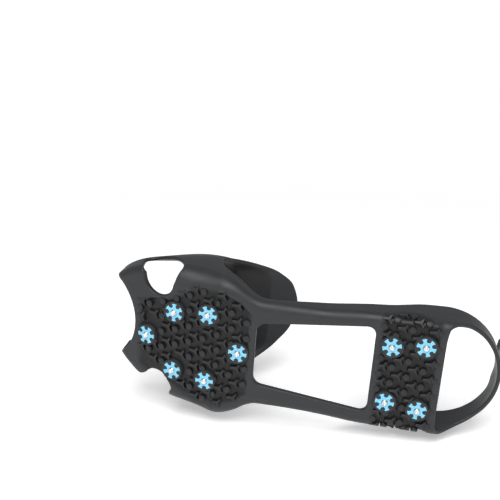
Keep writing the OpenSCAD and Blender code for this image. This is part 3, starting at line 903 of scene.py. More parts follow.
# ------------------------------------------------------------------------------ tread


@dataclass
class Tread:
    """The pegs and the three-armed lugs between them, on the heel or on the forefoot."""

    form: BootForm
    pattern: HarnessPattern
    name: str
    body: Body
    middle_column: float
    columns: range
    rows: range
    girth_limit: tuple
    studs: tuple
    pitch: float = 10.9
    spacing: float = 12.1
    peg_d: float = 5.0
    proud: float = 0.3
    sunk: float = 0.7
    boss_d: float = 16.6
    # Share of painted shade on the tops of pegs and lugs; it grows to full down their sides.
    top_shade: float = 0.45
    crest_up: float = 0.3
    ahead: float = 5.8
    arm_l: float = 4.7
    rear_arm_share: float = 0.82
    arm_w: float = 1.9
    pit_r: float = 3.9
    border_reach: float = 3.0
    foot_clearance: float = 0.6
    boss_overlap: float = 1.5
    peg_inset: float = 0.5
    peg_edge: float = 1.2
    lug_inset: float = -0.8
    lug_edge: float = 0.6

    def build(self) -> list:
        """Builds the pegs and the lugs.

        Returns:
            Two pieces: pegs and lugs.
        """
        peg_places = self._places(0.0, self.peg_inset, self.peg_d / 2.0 + self.peg_edge)
        lug_places = self._places(self.ahead, self.lug_inset, self.arm_l + self.lug_edge)
        return [self._stamp(self._peg(), peg_places, f"{self.name}_pegs"),
                self._stamp(self._lug(), lug_places, f"{self.name}_lugs")]

    def dress(self, pieces: list, rubber: bpy.types.Material) -> None:
        """Gives the pieces their material and body."""
        for piece in pieces:
            clothe(piece, rubber)
            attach(piece, self.body.value)
            report(piece)

    def _places(self, ahead: float, inset: float, clearance: float) -> list:
        """Places of the lattice that lie inside the tread and clear of the bosses.

        Args:
            ahead: How far in front of each peg the wanted place lies.
            inset: Least distance inside the tread's border.
            clearance: Least distance from the edge of the rubber.

        Returns:
            Pairs of along and girth.
        """
        found = []
        for column in self.columns:
            for row in self.rows:
                along = self.middle_column + column * self.pitch + ahead
                if ahead == 0.0:
                    along = self._held(along)
                girth = (row + (abs(column) % 2) / 2.0) * self.spacing
                clear = all(math.hypot(along - u, girth - v) > self.boss_d / 2.0 - self.boss_overlap
                            for u, v in self.studs)
                if clear and self._inside(along, girth, inset):
                    found.append((along, girth))
        x, girths = np.array(found).T
        depth = self.pattern.margin(x, self.form.from_girth(x, girths))
        return [place for place, deep in zip(found, depth) if deep > clearance]

    def _held(self, along: float) -> float:
        """Brings a column that just misses the tread back to its border, where its pegs stand half sunk."""
        low, high, _ = self.girth_limit
        if low - self.border_reach < along < low + 1.0:
            return low + 1.0
        if high - 1.0 < along < high + self.border_reach:
            return high - 1.0
        return along

    def _inside(self, along: float, girth: float, inset: float) -> bool:
        """Whether a place lies inside the tread's border by at least the inset."""
        low, high, table = self.girth_limit
        half = float(table_at(along, table))
        return low + inset < along < high - inset and abs(girth) < half - inset

    def _peg(self) -> bmesh.types.BMesh:
        """A round peg with a rolled top edge, standing on the floor's height."""
        peg = bmesh.new()
        bmesh.ops.create_circle(peg, cap_ends=True, segments=16, radius=self.peg_d / 2.0 + 0.15)
        top = bmesh.ops.extrude_face_region(peg, geom=list(peg.faces))
        verts = [g for g in top["geom"] if isinstance(g, bmesh.types.BMVert)]
        rise = self.pattern.tread_depth + self.sunk + self.proud
        bmesh.ops.translate(peg, vec=(0.0, 0.0, rise), verts=verts)
        bmesh.ops.scale(peg, vec=(0.92, 0.92, 1.0), verts=verts)
        edges = [e for e in peg.edges if all(v in set(verts) for v in e.verts)]
        bmesh.ops.bevel(peg, geom=edges, offset=0.45, affect="EDGES", segments=2, profile=0.5, material=-1)
        bmesh.ops.translate(peg, vec=(0.0, 0.0, -self.pattern.tread_depth - self.sunk), verts=peg.verts)
        bmesh.ops.recalc_face_normals(peg, faces=peg.faces)
        return peg

    def _lug(self) -> bmesh.types.BMesh:
        """A lug of three ridged arms, one towards the toe, on a skirt hollowed round the nearest pegs."""
        floor = -self.pattern.tread_depth
        skirt, shoulder, crest = self._lug_rings()
        lug = bmesh.new()
        bmesh.ops.create_circle(lug, cap_ends=True, segments=len(crest), radius=1.0)
        ring = sorted(lug.verts, key=self._way_round)
        for v, (x, y) in zip(ring, skirt):
            v.co = Vector((x, y, floor - self.sunk))
        for outline, height in ((skirt, floor + 0.1), (shoulder, floor + 0.9), (crest, self.crest_up)):
            cap = max((f for f in lug.faces if len(f.verts) == len(crest)), key=lambda f: f.verts[0].co.z)
            made = bmesh.ops.extrude_face_region(lug, geom=[cap], use_keep_orig=len(lug.faces) == 1)
            fresh = [g for g in made["geom"] if isinstance(g, bmesh.types.BMVert)]
            fresh.sort(key=self._way_round)
            for v, (x, y) in zip(fresh, outline):
                v.co = Vector((x, y, height))
        rim = [e for e in lug.edges if all(abs(v.co.z - self.crest_up) < 1e-5 for v in e.verts)]
        bmesh.ops.bevel(lug, geom=rim, offset=0.22, affect="EDGES", segments=1, profile=0.5, material=-1)
        bmesh.ops.recalc_face_normals(lug, faces=lug.faces)
        return lug

    @staticmethod
    def _way_round(vert: bmesh.types.BMVert) -> float:
        """Angle of a vertex round the z axis, counted from just before the x axis."""
        return (math.atan2(vert.co.y, vert.co.x) + 0.05) % (2.0 * math.pi)

    def _lug_rings(self) -> tuple:
        """Outlines of the lug's skirt, shoulder and crest.

        Returns:
            Three tuples of points with the same count, from the first arm's tip round.
        """
        hollow = self.ahead - self.pit_r
        side = (self.ahead * math.cos(math.radians(30.0))
                - math.sqrt(self.pit_r ** 2 - (self.ahead * math.sin(math.radians(30.0))) ** 2))
        long, half = self.arm_l, self.arm_w / 2.0
        crest = ((long, 0.0), (long - 0.25, half * 0.85), (long * 0.5, half), (half * 0.7, half * 1.2))
        skirt = ((long + 0.7, 0.0), (long + 0.5, half + 0.5),
                 (side * math.cos(math.radians(30.0)), side * math.sin(math.radians(30.0))),
                 (hollow * 0.5, hollow * math.sqrt(3.0) / 2.0))
        shoulder = tuple((a[0] * 0.6 + b[0] * 0.4, a[1] * 0.6 + b[1] * 0.4) for a, b in zip(crest, skirt))
        return tuple(self._three_arms(points) for points in (skirt, shoulder, crest))

    def _three_arms(self, points: tuple) -> tuple:
        """Repeats half an arm's outline, from its tip to the next crotch, round a full turn."""
        tip, corner, side, crotch = points
        arm = (tip, corner, side, crotch, (side[0], -side[1]), (corner[0], -corner[1]))
        turned = []
        for index in range(3):
            turn = Matrix.Rotation(math.radians(120.0 * index), 2)
            turned += [tuple(turn @ Vector(p)) for p in arm[:4]]
            back = Matrix.Rotation(math.radians(120.0 * (index + 1)), 2)
            turned += [tuple(back @ Vector(p)) for p in arm[4:]]
        rear = {place for place in turned if place[0] < 0.0}
        share = self.rear_arm_share
        return tuple((x * share, y * share) if (x, y) in rear else (x, y) for x, y in turned)

    def _stamp(self, shape: bmesh.types.BMesh, places: list, name: str) -> bpy.types.Object:
        """Sets a copy of a shape at every place, bent to the skin of the boot form.

        Args:
            shape: The shape, with x along the sole, y across it and z out of it. It is freed.
            places: Pairs of along and girth.
            name: Name of the new piece.

        Returns:
            The piece.
        """
        made = bmesh.new()
        copy = bpy.data.meshes.new(name + "_shape")
        shape.to_mesh(copy)
        painted_shade_shares = []
        for along, girth in places:
            before = len(made.verts)
            made.from_mesh(copy)
            made.verts.ensure_lookup_table()
            fresh = made.verts[before:]
            local = np.array([v.co for v in fresh])
            bottom = self._on_skin(along + local[:, 0], girth + local[:, 1])
            out = self._outward(along + local[:, 0], girth + local[:, 1])
            thick = self.form.thickness(along + local[:, 0], bottom[:, 2])
            high = np.maximum(local[:, 2], self.foot_clearance - thick)
            for v, place in zip(fresh, bottom + out * high[:, None]):
                v.co = place
            # Painted shade: pegs and lugs darken from top_shade at their tops to full at the tread's floor.
            painted_shade_shares += list(self.top_shade + (1.0 - self.top_shade) * np.clip(
                -local[:, 2] / self.pattern.tread_depth, 0.0, 1.0))
        bpy.data.meshes.remove(copy)
        shape.free()
        bmesh.ops.recalc_face_normals(made, faces=made.faces)
        piece = finish_mesh(made, name)
        paint_hollow_shade(piece, painted_shade_shares)
        return piece

    def _on_skin(self, along: np.ndarray, girth: np.ndarray) -> np.ndarray:
        """Skin points at places given by their length round the form, in the frame."""
        return self.form.to_frame(self.form.skin(along, self.form.from_girth(along, girth)))

    def _outward(self, along: np.ndarray, girth: np.ndarray) -> np.ndarray:
        """Directions out of the skin at a row of places, in the frame."""
        away = 1.0
        ahead = self._on_skin(along + away, girth) - self._on_skin(along - away, girth)
        beside = self._on_skin(along, girth + away) - self._on_skin(along, girth - away)
        normal = np.cross(ahead, beside)
        normal /= np.linalg.norm(normal, axis=1, keepdims=True)
        inward = np.mean(normal[:, 2]) > 0.0
        return -normal if inward else normal


# ------------------------------------------------------------------------------ studs


@dataclass
class StudSet:
    """One steel stud in its plastic star, held by a round rubber boss."""

    form: BootForm
    place: str
    body: Body
    turn_deg: float
    boss_d: float = 16.6
    star_d: float = 13.6
    root_d: float = 7.8
    notch_w: float = 3.2
    star_up: float = 0.6
    boss_up: float = 0.35
    stud_out: float = 2.2
    stud_d: float = 4.8
    tip_d: float = 3.4
    dimple_d: float = 2.0
    star_t: float = 2.4
    teeth: int = 6
    tooth_points: int = 16

    def __post_init__(self) -> None:
        """Finds the place on the sole where the CAD frame has the star."""
        low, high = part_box("star_" + self.place)
        self.across = (low.x + high.x) / 2.0 / MM
        self.along = self.form.middle - (low.y + high.y) / 2.0 / MM

    def build(self) -> list:
        """Builds the boss, the star and the stud.

        Returns:
            The three pieces.
        """
        shapes = ((self._boss(), "boss_"), (self._star(), "star_piece_"), (self._stud(), "stud_piece_"))
        return [self._set(shape, kind + self.place) for shape, kind in shapes]

    def dress(self, pieces: list, rubber: bpy.types.Material, plastic: bpy.types.Material,
              steel: bpy.types.Material) -> None:
        """Gives the pieces their materials and body, and hides the CAD nodes."""
        finishes = ((rubber, Slot.RUBBER), (plastic, Slot.STAR), (steel, Slot.STEEL))
        for piece, (material, slot) in zip(pieces, finishes):
            clothe(piece, material)
            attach(piece, self.body.value)
            report(piece)
        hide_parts("star_" + self.place)
        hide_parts("stud_" + self.place)

    def _set(self, shape: bmesh.types.BMesh, name: str) -> bpy.types.Object:
        """Stands a shape on the sole's face, upright to it.

        Args:
            shape: The shape, with z out of the sole.
            name: Name of the piece.

        Returns:
            The piece.
        """
        slope = math.asin(max(0.0, self.along - self.form.spring_at) / self.form.spring_r)
        out = Vector((0.0, -math.sin(slope), -math.cos(slope)))
        toe = Vector((0.0, -math.cos(slope), math.sin(slope)))
        side = toe.cross(out)
        up = float(self.form.rise_at(np.array(self.along)))
        place = self.form.frame_point(self.across, self.along, up) / MM
        frame_of = Matrix((side, toe, out)).transposed().to_4x4()
        bmesh.ops.transform(shape, matrix=Matrix.Translation(place) @ frame_of, verts=shape.verts)
        bmesh.ops.recalc_face_normals(shape, faces=shape.faces)
        return finish_mesh(shape, name, 30.0)

    @staticmethod
    def _turned(outline: tuple, segments: int) -> bmesh.types.BMesh:
        """Spins an outline of radius and height round the z axis into a closed shape."""
        shape = bmesh.new()
        verts = [shape.verts.new((radius, 0.0, height)) for radius, height in outline]
        edges = [shape.edges.new(pair) for pair in zip(verts[:-1], verts[1:])]
        bmesh.ops.spin(shape, geom=[*verts, *edges], cent=(0, 0, 0), axis=(0, 0, 1), angle=2.0 * math.pi,
                       steps=segments, use_merge=True, use_duplicate=False)
        bmesh.ops.remove_doubles(shape, verts=shape.verts, dist=1e-4)
        return shape

    def _boss(self) -> bmesh.types.BMesh:
        """The round rubber boss with its raised lip."""
        lip = self.boss_d / 2.0
        up = self.boss_up
        outline = ((0.0, -2.6), (lip + 0.5, -2.6), (lip, up), (lip - 0.15, up + 0.3), (lip - 0.5, up + 0.42),
                   (lip - 0.85, up + 0.3), (lip - 1.05, up), (0.0, up))
        return self._turned(outline, 48)

    def _star(self) -> bmesh.types.BMesh:
        """The six-toothed star, with rounded notches and a rolled upper edge."""
        star = bmesh.new()
        bmesh.ops.create_circle(star, cap_ends=True, segments=self.teeth * self.tooth_points,
                                radius=self.star_d / 2.0)
        ring = sorted(star.verts, key=lambda v: math.atan2(v.co.y, v.co.x) % (2.0 * math.pi))
        for index, v in enumerate(ring):
            tooth, step = divmod(index, self.tooth_points)
            angle = 2.0 * math.pi * tooth / self.teeth + math.radians(self.turn_deg)
            radial, across = self._tooth_point(step / self.tooth_points)
            v.co = Matrix.Rotation(angle, 3, "Z") @ Vector((radial, across, 0.0))
        top = bmesh.ops.extrude_face_region(star, geom=list(star.faces), use_keep_orig=True)
        verts = {g for g in top["geom"] if isinstance(g, bmesh.types.BMVert)}
        bmesh.ops.translate(star, vec=(0.0, 0.0, self.star_t), verts=list(verts))
        rim = [e for e in star.edges if all(v in verts for v in e.verts)
               and sum(all(v in verts for v in f.verts) for f in e.link_faces) == 1]
        bmesh.ops.bevel(star, geom=rim, offset=0.28, affect="EDGES", segments=3, profile=0.5, material=-1)
        bmesh.ops.translate(star, vec=(0.0, 0.0, self.star_up - self.star_t), verts=star.verts)
        return star

    def _tooth_point(self, share: float) -> tuple:
        """A point of the star's outline, from the middle of one notch to the middle of the next.

        Args:
            share: From 0 to 1 over one tooth.

        Returns:
            Radial and sideways place, where the tooth points along the first.
        """
        half_turn = math.pi / self.teeth
        notch_r = self.notch_w / 2.0
        root = self.root_d / 2.0 + notch_r
        sign = -1.0 if share < 0.5 else 1.0
        step = min(share, 1.0 - share) * 2.0
        round_share, straight_share = 0.4, 0.66
        if step <= round_share:
            sweep = step / round_share * math.pi / 2.0
            from_notch = (root - notch_r * math.cos(sweep), notch_r * math.sin(sweep))
        else:
            tip = math.sqrt((self.star_d / 2.0) ** 2 - notch_r ** 2)
            along = min(1.0, (step - round_share) / (straight_share - round_share))
            from_notch = (root + (tip - root) * along, notch_r)
        if step > straight_share:
            edge_angle = half_turn - math.asin(notch_r / (self.star_d / 2.0))
            swing = edge_angle * (1.0 - (step - straight_share) / (1.0 - straight_share))
            return self.star_d / 2.0 * math.cos(swing), sign * self.star_d / 2.0 * math.sin(swing)
        radial, beside = from_notch
        turned = Matrix.Rotation(sign * half_turn, 2) @ Vector((radial, -sign * beside))
        return turned.x, turned.y

    def _stud(self) -> bmesh.types.BMesh:
        """The steel stud with a rounded tip and a dimple."""
        out = self.stud_out
        shank, tip, dimple = self.stud_d / 2.0, self.tip_d / 2.0, self.dimple_d / 2.0
        outline = ((0.0, -0.8), (shank, -0.8), (shank, self.star_up + 0.35),
                   (shank - 0.1, self.star_up + 0.55), (tip + 0.12, out - 0.22), (tip - 0.02, out - 0.06),
                   (tip - 0.2, out), (dimple + 0.12, out), (dimple, out - 0.06), (dimple * 0.6, out - 0.55),
                   (0.0, out - 0.7))
        return self._turned(outline, 32)


# ------------------------------------------------------------------------------ finishes


def add_node(tree: bpy.types.NodeTree, kind: str, **values: object) -> bpy.types.Node:
    """Adds a node and sets its properties and its sockets' values.

    Args:
        tree: The node tree.
        kind: The node's type name.
        values: Properties by name, and sockets by name with spaces as underscores.

    Returns:
        The node.
    """
    node = tree.nodes.new(kind)
    for name, value in values.items():
        if hasattr(node, name):
            setattr(node, name, value)
        else:
            node.inputs[name.replace("_", " ")].default_value = value
    return node


def new_group(name: str, inputs: tuple, outputs: tuple) -> tuple:
    """Starts a shared node group.

    Args:
        name: Name of the group.
        inputs: Names of its number inputs, after a first one called Vector.
        outputs: Names of its number outputs.

    Returns:
        The group, its input node and its output node.
    """
    group = bpy.data.node_groups.new(name, "ShaderNodeTree")
    group.interface.new_socket("Vector", in_out="INPUT", socket_type="NodeSocketVector")
    for names, way in ((inputs, "INPUT"), (outputs, "OUTPUT")):
        for socket in names:
            group.interface.new_socket(socket, in_out=way, socket_type="NodeSocketFloat")
    return group, group.nodes.new("NodeGroupInput"), group.nodes.new("NodeGroupOutput")


@dataclass(frozen=True)
class GrainGroup:
    """A node group of fine moulded grain and broad mottling, for any moulded surface."""

    name: str = "moulded_grain"

    def build(self) -> bpy.types.NodeTree:
        """Builds the group.

        Returns:
            The group, with Height and Mottle as its outputs.
        """
        group, entry, leave = new_group(self.name, ("Grain Scale", "Mottle Scale"), ("Height", "Mottle"))
        fine = add_node(group, "ShaderNodeTexNoise", Detail=4.0, Roughness=0.6)
        cells = add_node(group, "ShaderNodeTexVoronoi", feature="SMOOTH_F1", Smoothness=0.6)
        broad = add_node(group, "ShaderNodeTexNoise", Detail=3.0, Roughness=0.55, Distortion=0.4)
        mix = add_node(group, "ShaderNodeMath", operation="ADD")
        link = group.links.new
        for texture, scale in ((fine, "Grain Scale"), (cells, "Grain Scale"), (broad, "Mottle Scale")):
            link(entry.outputs["Vector"], texture.inputs["Vector"])
            link(entry.outputs[scale], texture.inputs["Scale"])
        link(fine.outputs["Fac"], mix.inputs[0])
        link(cells.outputs["Distance"], mix.inputs[1])
        link(mix.outputs[0], leave.inputs["Height"])
        link(broad.outputs["Fac"], leave.inputs["Mottle"])
        return group


@dataclass(frozen=True)
class ScuffGroup:
    """A node group of fine scuffs and specks of dust."""

    name: str = "scuffs"

    def build(self) -> bpy.types.NodeTree:
        """Builds the group.

        Returns:
            The group, with Scuff and Dust masks as its outputs.
        """
        group, entry, leave = new_group(self.name, ("Scuff Scale", "Dust Scale"), ("Scuff", "Dust"))
        stretch = add_node(group, "ShaderNodeMapping", Scale=(1.0, 0.12, 1.0), Rotation=(0.0, 0.0, 0.5))
        streaks = add_node(group, "ShaderNodeTexNoise", Detail=5.0, Roughness=0.7)
        streak_mask = add_node(group, "ShaderNodeMapRange", From_Min=0.56, From_Max=0.72)
        specks = add_node(group, "ShaderNodeTexNoise", Detail=2.0, Roughness=0.5)
        speck_mask = add_node(group, "ShaderNodeMapRange", From_Min=0.68, From_Max=0.76)
        link = group.links.new
        link(entry.outputs["Vector"], stretch.inputs["Vector"])
        link(stretch.outputs["Vector"], streaks.inputs["Vector"])
        link(entry.outputs["Scuff Scale"], streaks.inputs["Scale"])
        link(entry.outputs["Vector"], specks.inputs["Vector"])
        link(entry.outputs["Dust Scale"], specks.inputs["Scale"])
        link(streaks.outputs["Fac"], streak_mask.inputs["Value"])
        link(specks.outputs["Fac"], speck_mask.inputs["Value"])
        link(streak_mask.outputs["Result"], leave.inputs["Scuff"])
        link(speck_mask.outputs["Result"], leave.inputs["Dust"])
        return group


@dataclass(frozen=True)
class Finish:
    """What every finish of the cleat shares: its name, base colours and roughness range."""

    name: str
    dark: tuple
    light: tuple
    smooth: float
    rough: float
    grain_scale: float
    mottle_scale: float
    bump: float
    bump_depth: float
    scuff_scale: float = 300.0
    dust_scale: float = 900.0
    scuff_amount: float = 0.25
    dust_amount: float = 0.25
    worn: tuple = (0.16, 0.165, 0.17, 1.0)
    dust: tuple = (0.3, 0.3, 0.29, 1.0)
    # Near-black painted shade, which the rubber's colour is pulled towards in the tread's hollows.
    deep: tuple = (0.003, 0.003, 0.0035, 1.0)

    def build(self, grain: bpy.types.NodeTree, scuffs: bpy.types.NodeTree) -> bpy.types.Material:
        """Builds the material.

        Args:
            grain: The grain group.
            scuffs: The scuff group.

        Returns:
            The material.
        """
        material = bpy.data.materials.new(self.name)
        material.use_nodes = True
        tree = material.node_tree
        link = tree.links.new
        shader = tree.nodes["Principled BSDF"]
        place = tree.nodes.new("ShaderNodeTexCoord")
        texture = add_node(tree, "ShaderNodeGroup", node_tree=grain)
        texture.inputs["Grain Scale"].default_value = self.grain_scale
        texture.inputs["Mottle Scale"].default_value = self.mottle_scale
        marks = add_node(tree, "ShaderNodeGroup", node_tree=scuffs)
        marks.inputs["Scuff Scale"].default_value = self.scuff_scale
        marks.inputs["Dust Scale"].default_value = self.dust_scale
        link(place.outputs["Object"], texture.inputs["Vector"])
        link(place.outputs["Object"], marks.inputs["Vector"])
        colour = add_node(tree, "ShaderNodeMix", data_type="RGBA")
        colour.inputs["A"].default_value = self.dark
        colour.inputs["B"].default_value = self.light
        link(texture.outputs["Mottle"], colour.inputs["Factor"])
        worn = self._layer(tree, colour, marks.outputs["Scuff"], self.scuff_amount, self.worn)
        dusty = self._layer(tree, worn, marks.outputs["Dust"], self.dust_amount, self.dust)
        self._colour(tree, dusty, shader)
        gloss = add_node(tree, "ShaderNodeMapRange", To_Min=self.smooth, To_Max=self.rough, From_Min=0.3,
                         From_Max=0.7)
        link(texture.outputs["Mottle"], gloss.inputs["Value"])
        link(gloss.outputs["Result"], shader.inputs["Roughness"])
        bump = add_node(tree, "ShaderNodeBump", Strength=self.bump, Distance=self.bump_depth)
        link(texture.outputs["Height"], bump.inputs["Height"])
        link(bump.outputs["Normal"], shader.inputs["Normal"])
        self._tune(shader)
        return material

    @staticmethod
    def _layer(tree: bpy.types.NodeTree, under: bpy.types.Node, mask: bpy.types.NodeSocket, amount: float,
               colour: tuple) -> bpy.types.Node:
        """Lays a colour over another where a mask says."""
        share = add_node(tree, "ShaderNodeMath", operation="MULTIPLY")
        share.inputs[1].default_value = amount
        over = add_node(tree, "ShaderNodeMix", data_type="RGBA")
        over.inputs["B"].default_value = colour
        tree.links.new(mask, share.inputs[0])
        tree.links.new(share.outputs[0], over.inputs["Factor"])
        tree.links.new(under.outputs["Result"], over.inputs["A"])
        return over

    def _colour(self, tree: bpy.types.NodeTree, colour: bpy.types.Node, shader: bpy.types.Node) -> None:
        """Gives the shader its colour."""
        tree.links.new(colour.outputs["Result"], shader.inputs["Base Color"])

    def _tune(self, shader: bpy.types.Node) -> None:
        """Sets what is the same all over the surface."""


@dataclass(frozen=True)
class RubberFinish(Finish):
    """Satin charcoal rubber, with painted shade darkening the hollows of the tread."""

    def _colour(self, tree: bpy.types.NodeTree, colour: bpy.types.Node, shader: bpy.types.Node) -> None:
        """Paints shade into the colour where the tread is hollow."""
        # Painted shade: the depth attribute mixes the colour towards the near-black deep colour.
        depth = add_node(tree, "ShaderNodeAttribute", attribute_name=PAINTED_SHADE_DEPTH)
        dark = add_node(tree, "ShaderNodeMix", data_type="RGBA")
        dark.inputs["B"].default_value = self.deep
        tree.links.new(depth.outputs["Fac"], dark.inputs["Factor"])
        tree.links.new(colour.outputs["Result"], dark.inputs["A"])
        tree.links.new(dark.outputs["Result"], shader.inputs["Base Color"])

    def _tune(self, shader: bpy.types.Node) -> None:
        """Sets the rubber's soft gloss."""
        shader.inputs["IOR"].default_value = 1.5
        shader.inputs["Specular IOR Level"].default_value = 0.35


@dataclass(frozen=True)
class PlasticFinish(Finish):
    """Light blue moulded plastic that lets a little light in."""

    def _tune(self, shader: bpy.types.Node) -> None:
        """Sets the plastic's glow and gloss."""
        shader.inputs["IOR"].default_value = 1.49
        shader.inputs["Subsurface Weight"].default_value = 0.25
        shader.inputs["Subsurface Radius"].default_value = (0.6, 1.0, 1.2)
        shader.inputs["Subsurface Scale"].default_value = 0.001


@dataclass(frozen=True)
class SteelFinish(Finish):
    """Bright turned steel."""

    def _tune(self, shader: bpy.types.Node) -> None:
        """Makes it metal."""
        shader.inputs["Metallic"].default_value = 1.0


RUBBER = RubberFinish(
    "charcoal_rubber", (0.013, 0.0138, 0.0155, 1.0), (0.024, 0.0252, 0.0275, 1.0), 0.4, 0.55, 2600.0, 55.0,
    0.25, 0.00008, scuff_amount=0.18, dust_amount=0.15, worn=(0.05, 0.052, 0.055, 1.0),
    dust=(0.12, 0.12, 0.118, 1.0))
STAR_BLUE = PlasticFinish(
    "light_blue_plastic", (0.17, 0.5, 0.72, 1.0), (0.2, 0.55, 0.77, 1.0), 0.3, 0.45, 1800.0, 120.0, 0.12,
    0.00004, scuff_amount=0.12, dust_amount=0.05, worn=(0.55, 0.8, 0.9, 1.0))
STEEL = SteelFinish(
    "bright_steel", (0.62, 0.61, 0.59, 1.0), (0.78, 0.77, 0.75, 1.0), 0.2, 0.36, 2400.0, 260.0, 0.15,
    0.00003, scuff_amount=0.3, dust_amount=0.04, worn=(0.5, 0.48, 0.45, 1.0))


# ------------------------------------------------------------------------------ stage


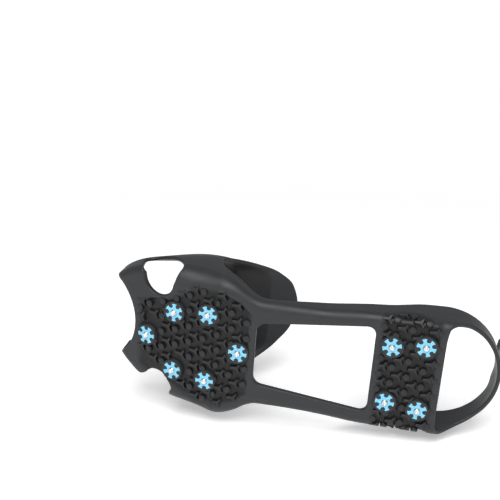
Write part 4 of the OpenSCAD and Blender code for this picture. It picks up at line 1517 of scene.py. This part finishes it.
@dataclass
class Studio:
    """The camera, the pale floor that the cleat's outer side lies against, and soft lights."""

    form: BootForm
    camera_at: tuple = (258.6, 98.6, -515.6)
    right: tuple = (0.0674, 0.9815, 0.1792)
    upward: tuple = (0.9436, -0.1211, 0.3082)
    sensor: float = 36.0
    lens: float = 57.6
    floor_side: float = -58.5
    floor_turn_deg: float = 4.2
    floor_size: float = 6.0
    room_light: float = 0.4
    floor_glow: float = 0.3
    fade_from: float = 0.25
    fade_to: float = 0.9
    key_at: tuple = (1100.0, 0.0, -620.0)
    key_size: float = 0.9
    key_power: float = 17.0
    fill_at: tuple = (150.0, -500.0, -900.0)
    fill_size: float = 1.0
    fill_power: float = 2.5
    aim_up: float = 30.0

    def build(self) -> None:
        """Builds the camera, floor, world and lights."""
        self._camera()
        self._floor()
        self._world()
        self._lights()

    def _camera(self) -> None:
        """Sets the camera under the sole, looking up at it."""
        data = bpy.data.cameras.new("camera")
        data.sensor_width = self.sensor
        data.lens = self.lens
        camera = add_object("camera", data)
        right, upward = Vector(self.right).normalized(), Vector(self.upward).normalized()
        back = right.cross(upward).normalized()
        upward = back.cross(right)
        place = self.form.frame_point(*self.camera_at)
        turn = Matrix((right, upward, back)).transposed().to_4x4()
        camera.matrix_world = Matrix.Translation(place) @ turn
        bpy.context.scene.camera = camera

    def _floor(self) -> None:
        """Makes a floor that shows only from the object's side."""
        shape = bmesh.new()
        bmesh.ops.create_grid(shape, x_segments=8, y_segments=8, size=self.floor_size / 2.0)
        turn = Matrix.Rotation(math.radians(90.0), 4, "Y")
        lean = Matrix.Rotation(math.radians(-self.floor_turn_deg), 4, "Z")
        place = Matrix.Translation(Vector((self.floor_side * MM, 0.0, 0.0)))
        bmesh.ops.transform(shape, matrix=place @ lean @ turn, verts=shape.verts)
        mesh = bpy.data.meshes.new("floor")
        shape.to_mesh(mesh)
        shape.free()
        mesh.materials.append(self._floor_material())
        add_object("floor", mesh)

    def _floor_material(self) -> bpy.types.Material:
        """Pale, lit from within, white far off, and clear from behind.

        Returns:
            The material.
        """
        material = bpy.data.materials.new("pale_floor")
        material.use_nodes = True
        tree = material.node_tree
        shader = tree.nodes["Principled BSDF"]
        shader.inputs["Base Color"].default_value = (0.93, 0.93, 0.935, 1.0)
        shader.inputs["Roughness"].default_value = 0.6
        shader.inputs["Emission Color"].default_value = (1.0, 1.0, 1.0, 1.0)
        shader.inputs["Emission Strength"].default_value = self.floor_glow
        clear = tree.nodes.new("ShaderNodeBsdfTransparent")
        mix = tree.nodes.new("ShaderNodeMixShader")
        facing = tree.nodes.new("ShaderNodeNewGeometry")
        white = add_node(tree, "ShaderNodeEmission", Strength=1.0)
        faded = tree.nodes.new("ShaderNodeMixShader")
        place = tree.nodes.new("ShaderNodeTexCoord")
        away = add_node(tree, "ShaderNodeVectorMath", operation="LENGTH")
        fade = add_node(tree, "ShaderNodeMapRange", interpolation_type="SMOOTHSTEP", From_Min=self.fade_from,
                        From_Max=self.fade_to)
        for source, target in (
                (place.outputs["Object"], away.inputs[0]), (away.outputs["Value"], fade.inputs["Value"]),
                (fade.outputs["Result"], faded.inputs[0]), (shader.outputs[0], faded.inputs[1]),
                (white.outputs[0], faded.inputs[2]), (facing.outputs["Backfacing"], mix.inputs[0]),
                (faded.outputs[0], mix.inputs[1]), (clear.outputs[0], mix.inputs[2]),
                (mix.outputs[0], tree.nodes["Material Output"].inputs["Surface"])):
            tree.links.new(source, target)
        return material

    def _world(self) -> None:
        """A white room, dimmer in what it lights than in what the camera sees."""
        world = bpy.data.worlds.new("studio")
        bpy.context.scene.world = world
        world.use_nodes = True
        tree = world.node_tree
        shade = tree.nodes["Background"]
        shade.inputs["Color"].default_value = (1.0, 1.0, 1.0, 1.0)
        ray = tree.nodes.new("ShaderNodeLightPath")
        level = add_node(tree, "ShaderNodeMapRange", To_Min=self.room_light, To_Max=1.0)
        tree.links.new(ray.outputs["Is Camera Ray"], level.inputs["Value"])
        tree.links.new(level.outputs["Result"], shade.inputs["Strength"])
        bpy.context.scene.view_settings.view_transform = "Standard"

    def _lights(self) -> None:
        """A large soft light over the inner side, and a weaker one beside the camera."""
        self._area("key", self.key_at, self.key_size, self.key_power)
        self._area("fill", self.fill_at, self.fill_size, self.fill_power)

    def _area(self, name: str, place: tuple, size: float, power: float) -> None:
        """Adds a square light that faces the middle of the cleat.

        Args:
            name: Name of the light.
            place: Where it stands, in the frame and in millimetres.
            size: Its side, in metres.
            power: Its power in watts.
        """
        data = bpy.data.lights.new(name, "AREA")
        data.size = size
        data.energy = power
        light = add_object(name, data)
        at = Vector(place) * MM
        aim = Vector((0.0, 0.0, self.aim_up)) * MM
        light.matrix_world = Matrix.Translation(at) @ (at - aim).to_track_quat("Z", "Y").to_matrix().to_4x4()


# ------------------------------------------------------------------------------ the whole cleat


HEEL_STUDS = ((76.0, 21.6), (76.0, -21.6), (52.9, 24.6), (52.9, -24.6))
BALL_STUDS = ((233.8, 23.4), (233.8, -23.4), (207.9, 26.4), (207.9, -26.4), (256.0, 0.0), (184.3, 0.0))
HEEL_LIMIT = (43.0, 84.0, ((43, 43), (52, 50), (74, 50), (84, 43)))
BALL_LIMIT = (176.0, 263.0)
HEEL_MIDDLE, BALL_MIDDLE = 63.6, 221.6
STAR_TURNS_DEG = {
    "heel_front_inner": 45, "heel_front_outer": 24, "heel_rear_inner": 18, "heel_rear_outer": 54,
    "ball_front_inner": 0, "ball_front_outer": 51, "ball_rear_inner": 24, "ball_rear_outer": 33,
    "toe_centre": 30, "ball_centre": 24}


def main() -> None:
    """Builds and dresses every piece of the cleat, and sets the stage round it."""
    logging.basicConfig(level=logging.INFO, format="%(name)s %(message)s")
    form = BootForm()
    pattern = HarnessPattern(form)
    grain, scuffs = GrainGroup().build(), ScuffGroup().build()
    rubber = RUBBER.build(grain, scuffs)
    plastic = STAR_BLUE.build(grain, scuffs)
    steel = STEEL.build(grain, scuffs)

    harness = Harness(form, pattern)
    harness.dress(harness.build(), rubber)

    heel = Tread(form, pattern, "heel", Body.HEEL_ARCH, HEEL_MIDDLE, range(-2, 3), range(-5, 6), HEEL_LIMIT,
                 HEEL_STUDS)
    ball = Tread(form, pattern, "forefoot", Body.FOREFOOT, BALL_MIDDLE, range(-5, 5), range(-5, 6),
                 (*BALL_LIMIT, pattern.ball_tread), BALL_STUDS)
    for tread in (heel, ball):
        tread.dress(tread.build(), rubber)

    for place, turn in STAR_TURNS_DEG.items():
        body = Body.HEEL_ARCH if place.startswith("heel") else Body.FOREFOOT
        stud_set = StudSet(form, place, body, turn)
        stud_set.dress(stud_set.build(), rubber, plastic, steel)

    Studio(form).build()


if __name__ == "__main__":
    main()
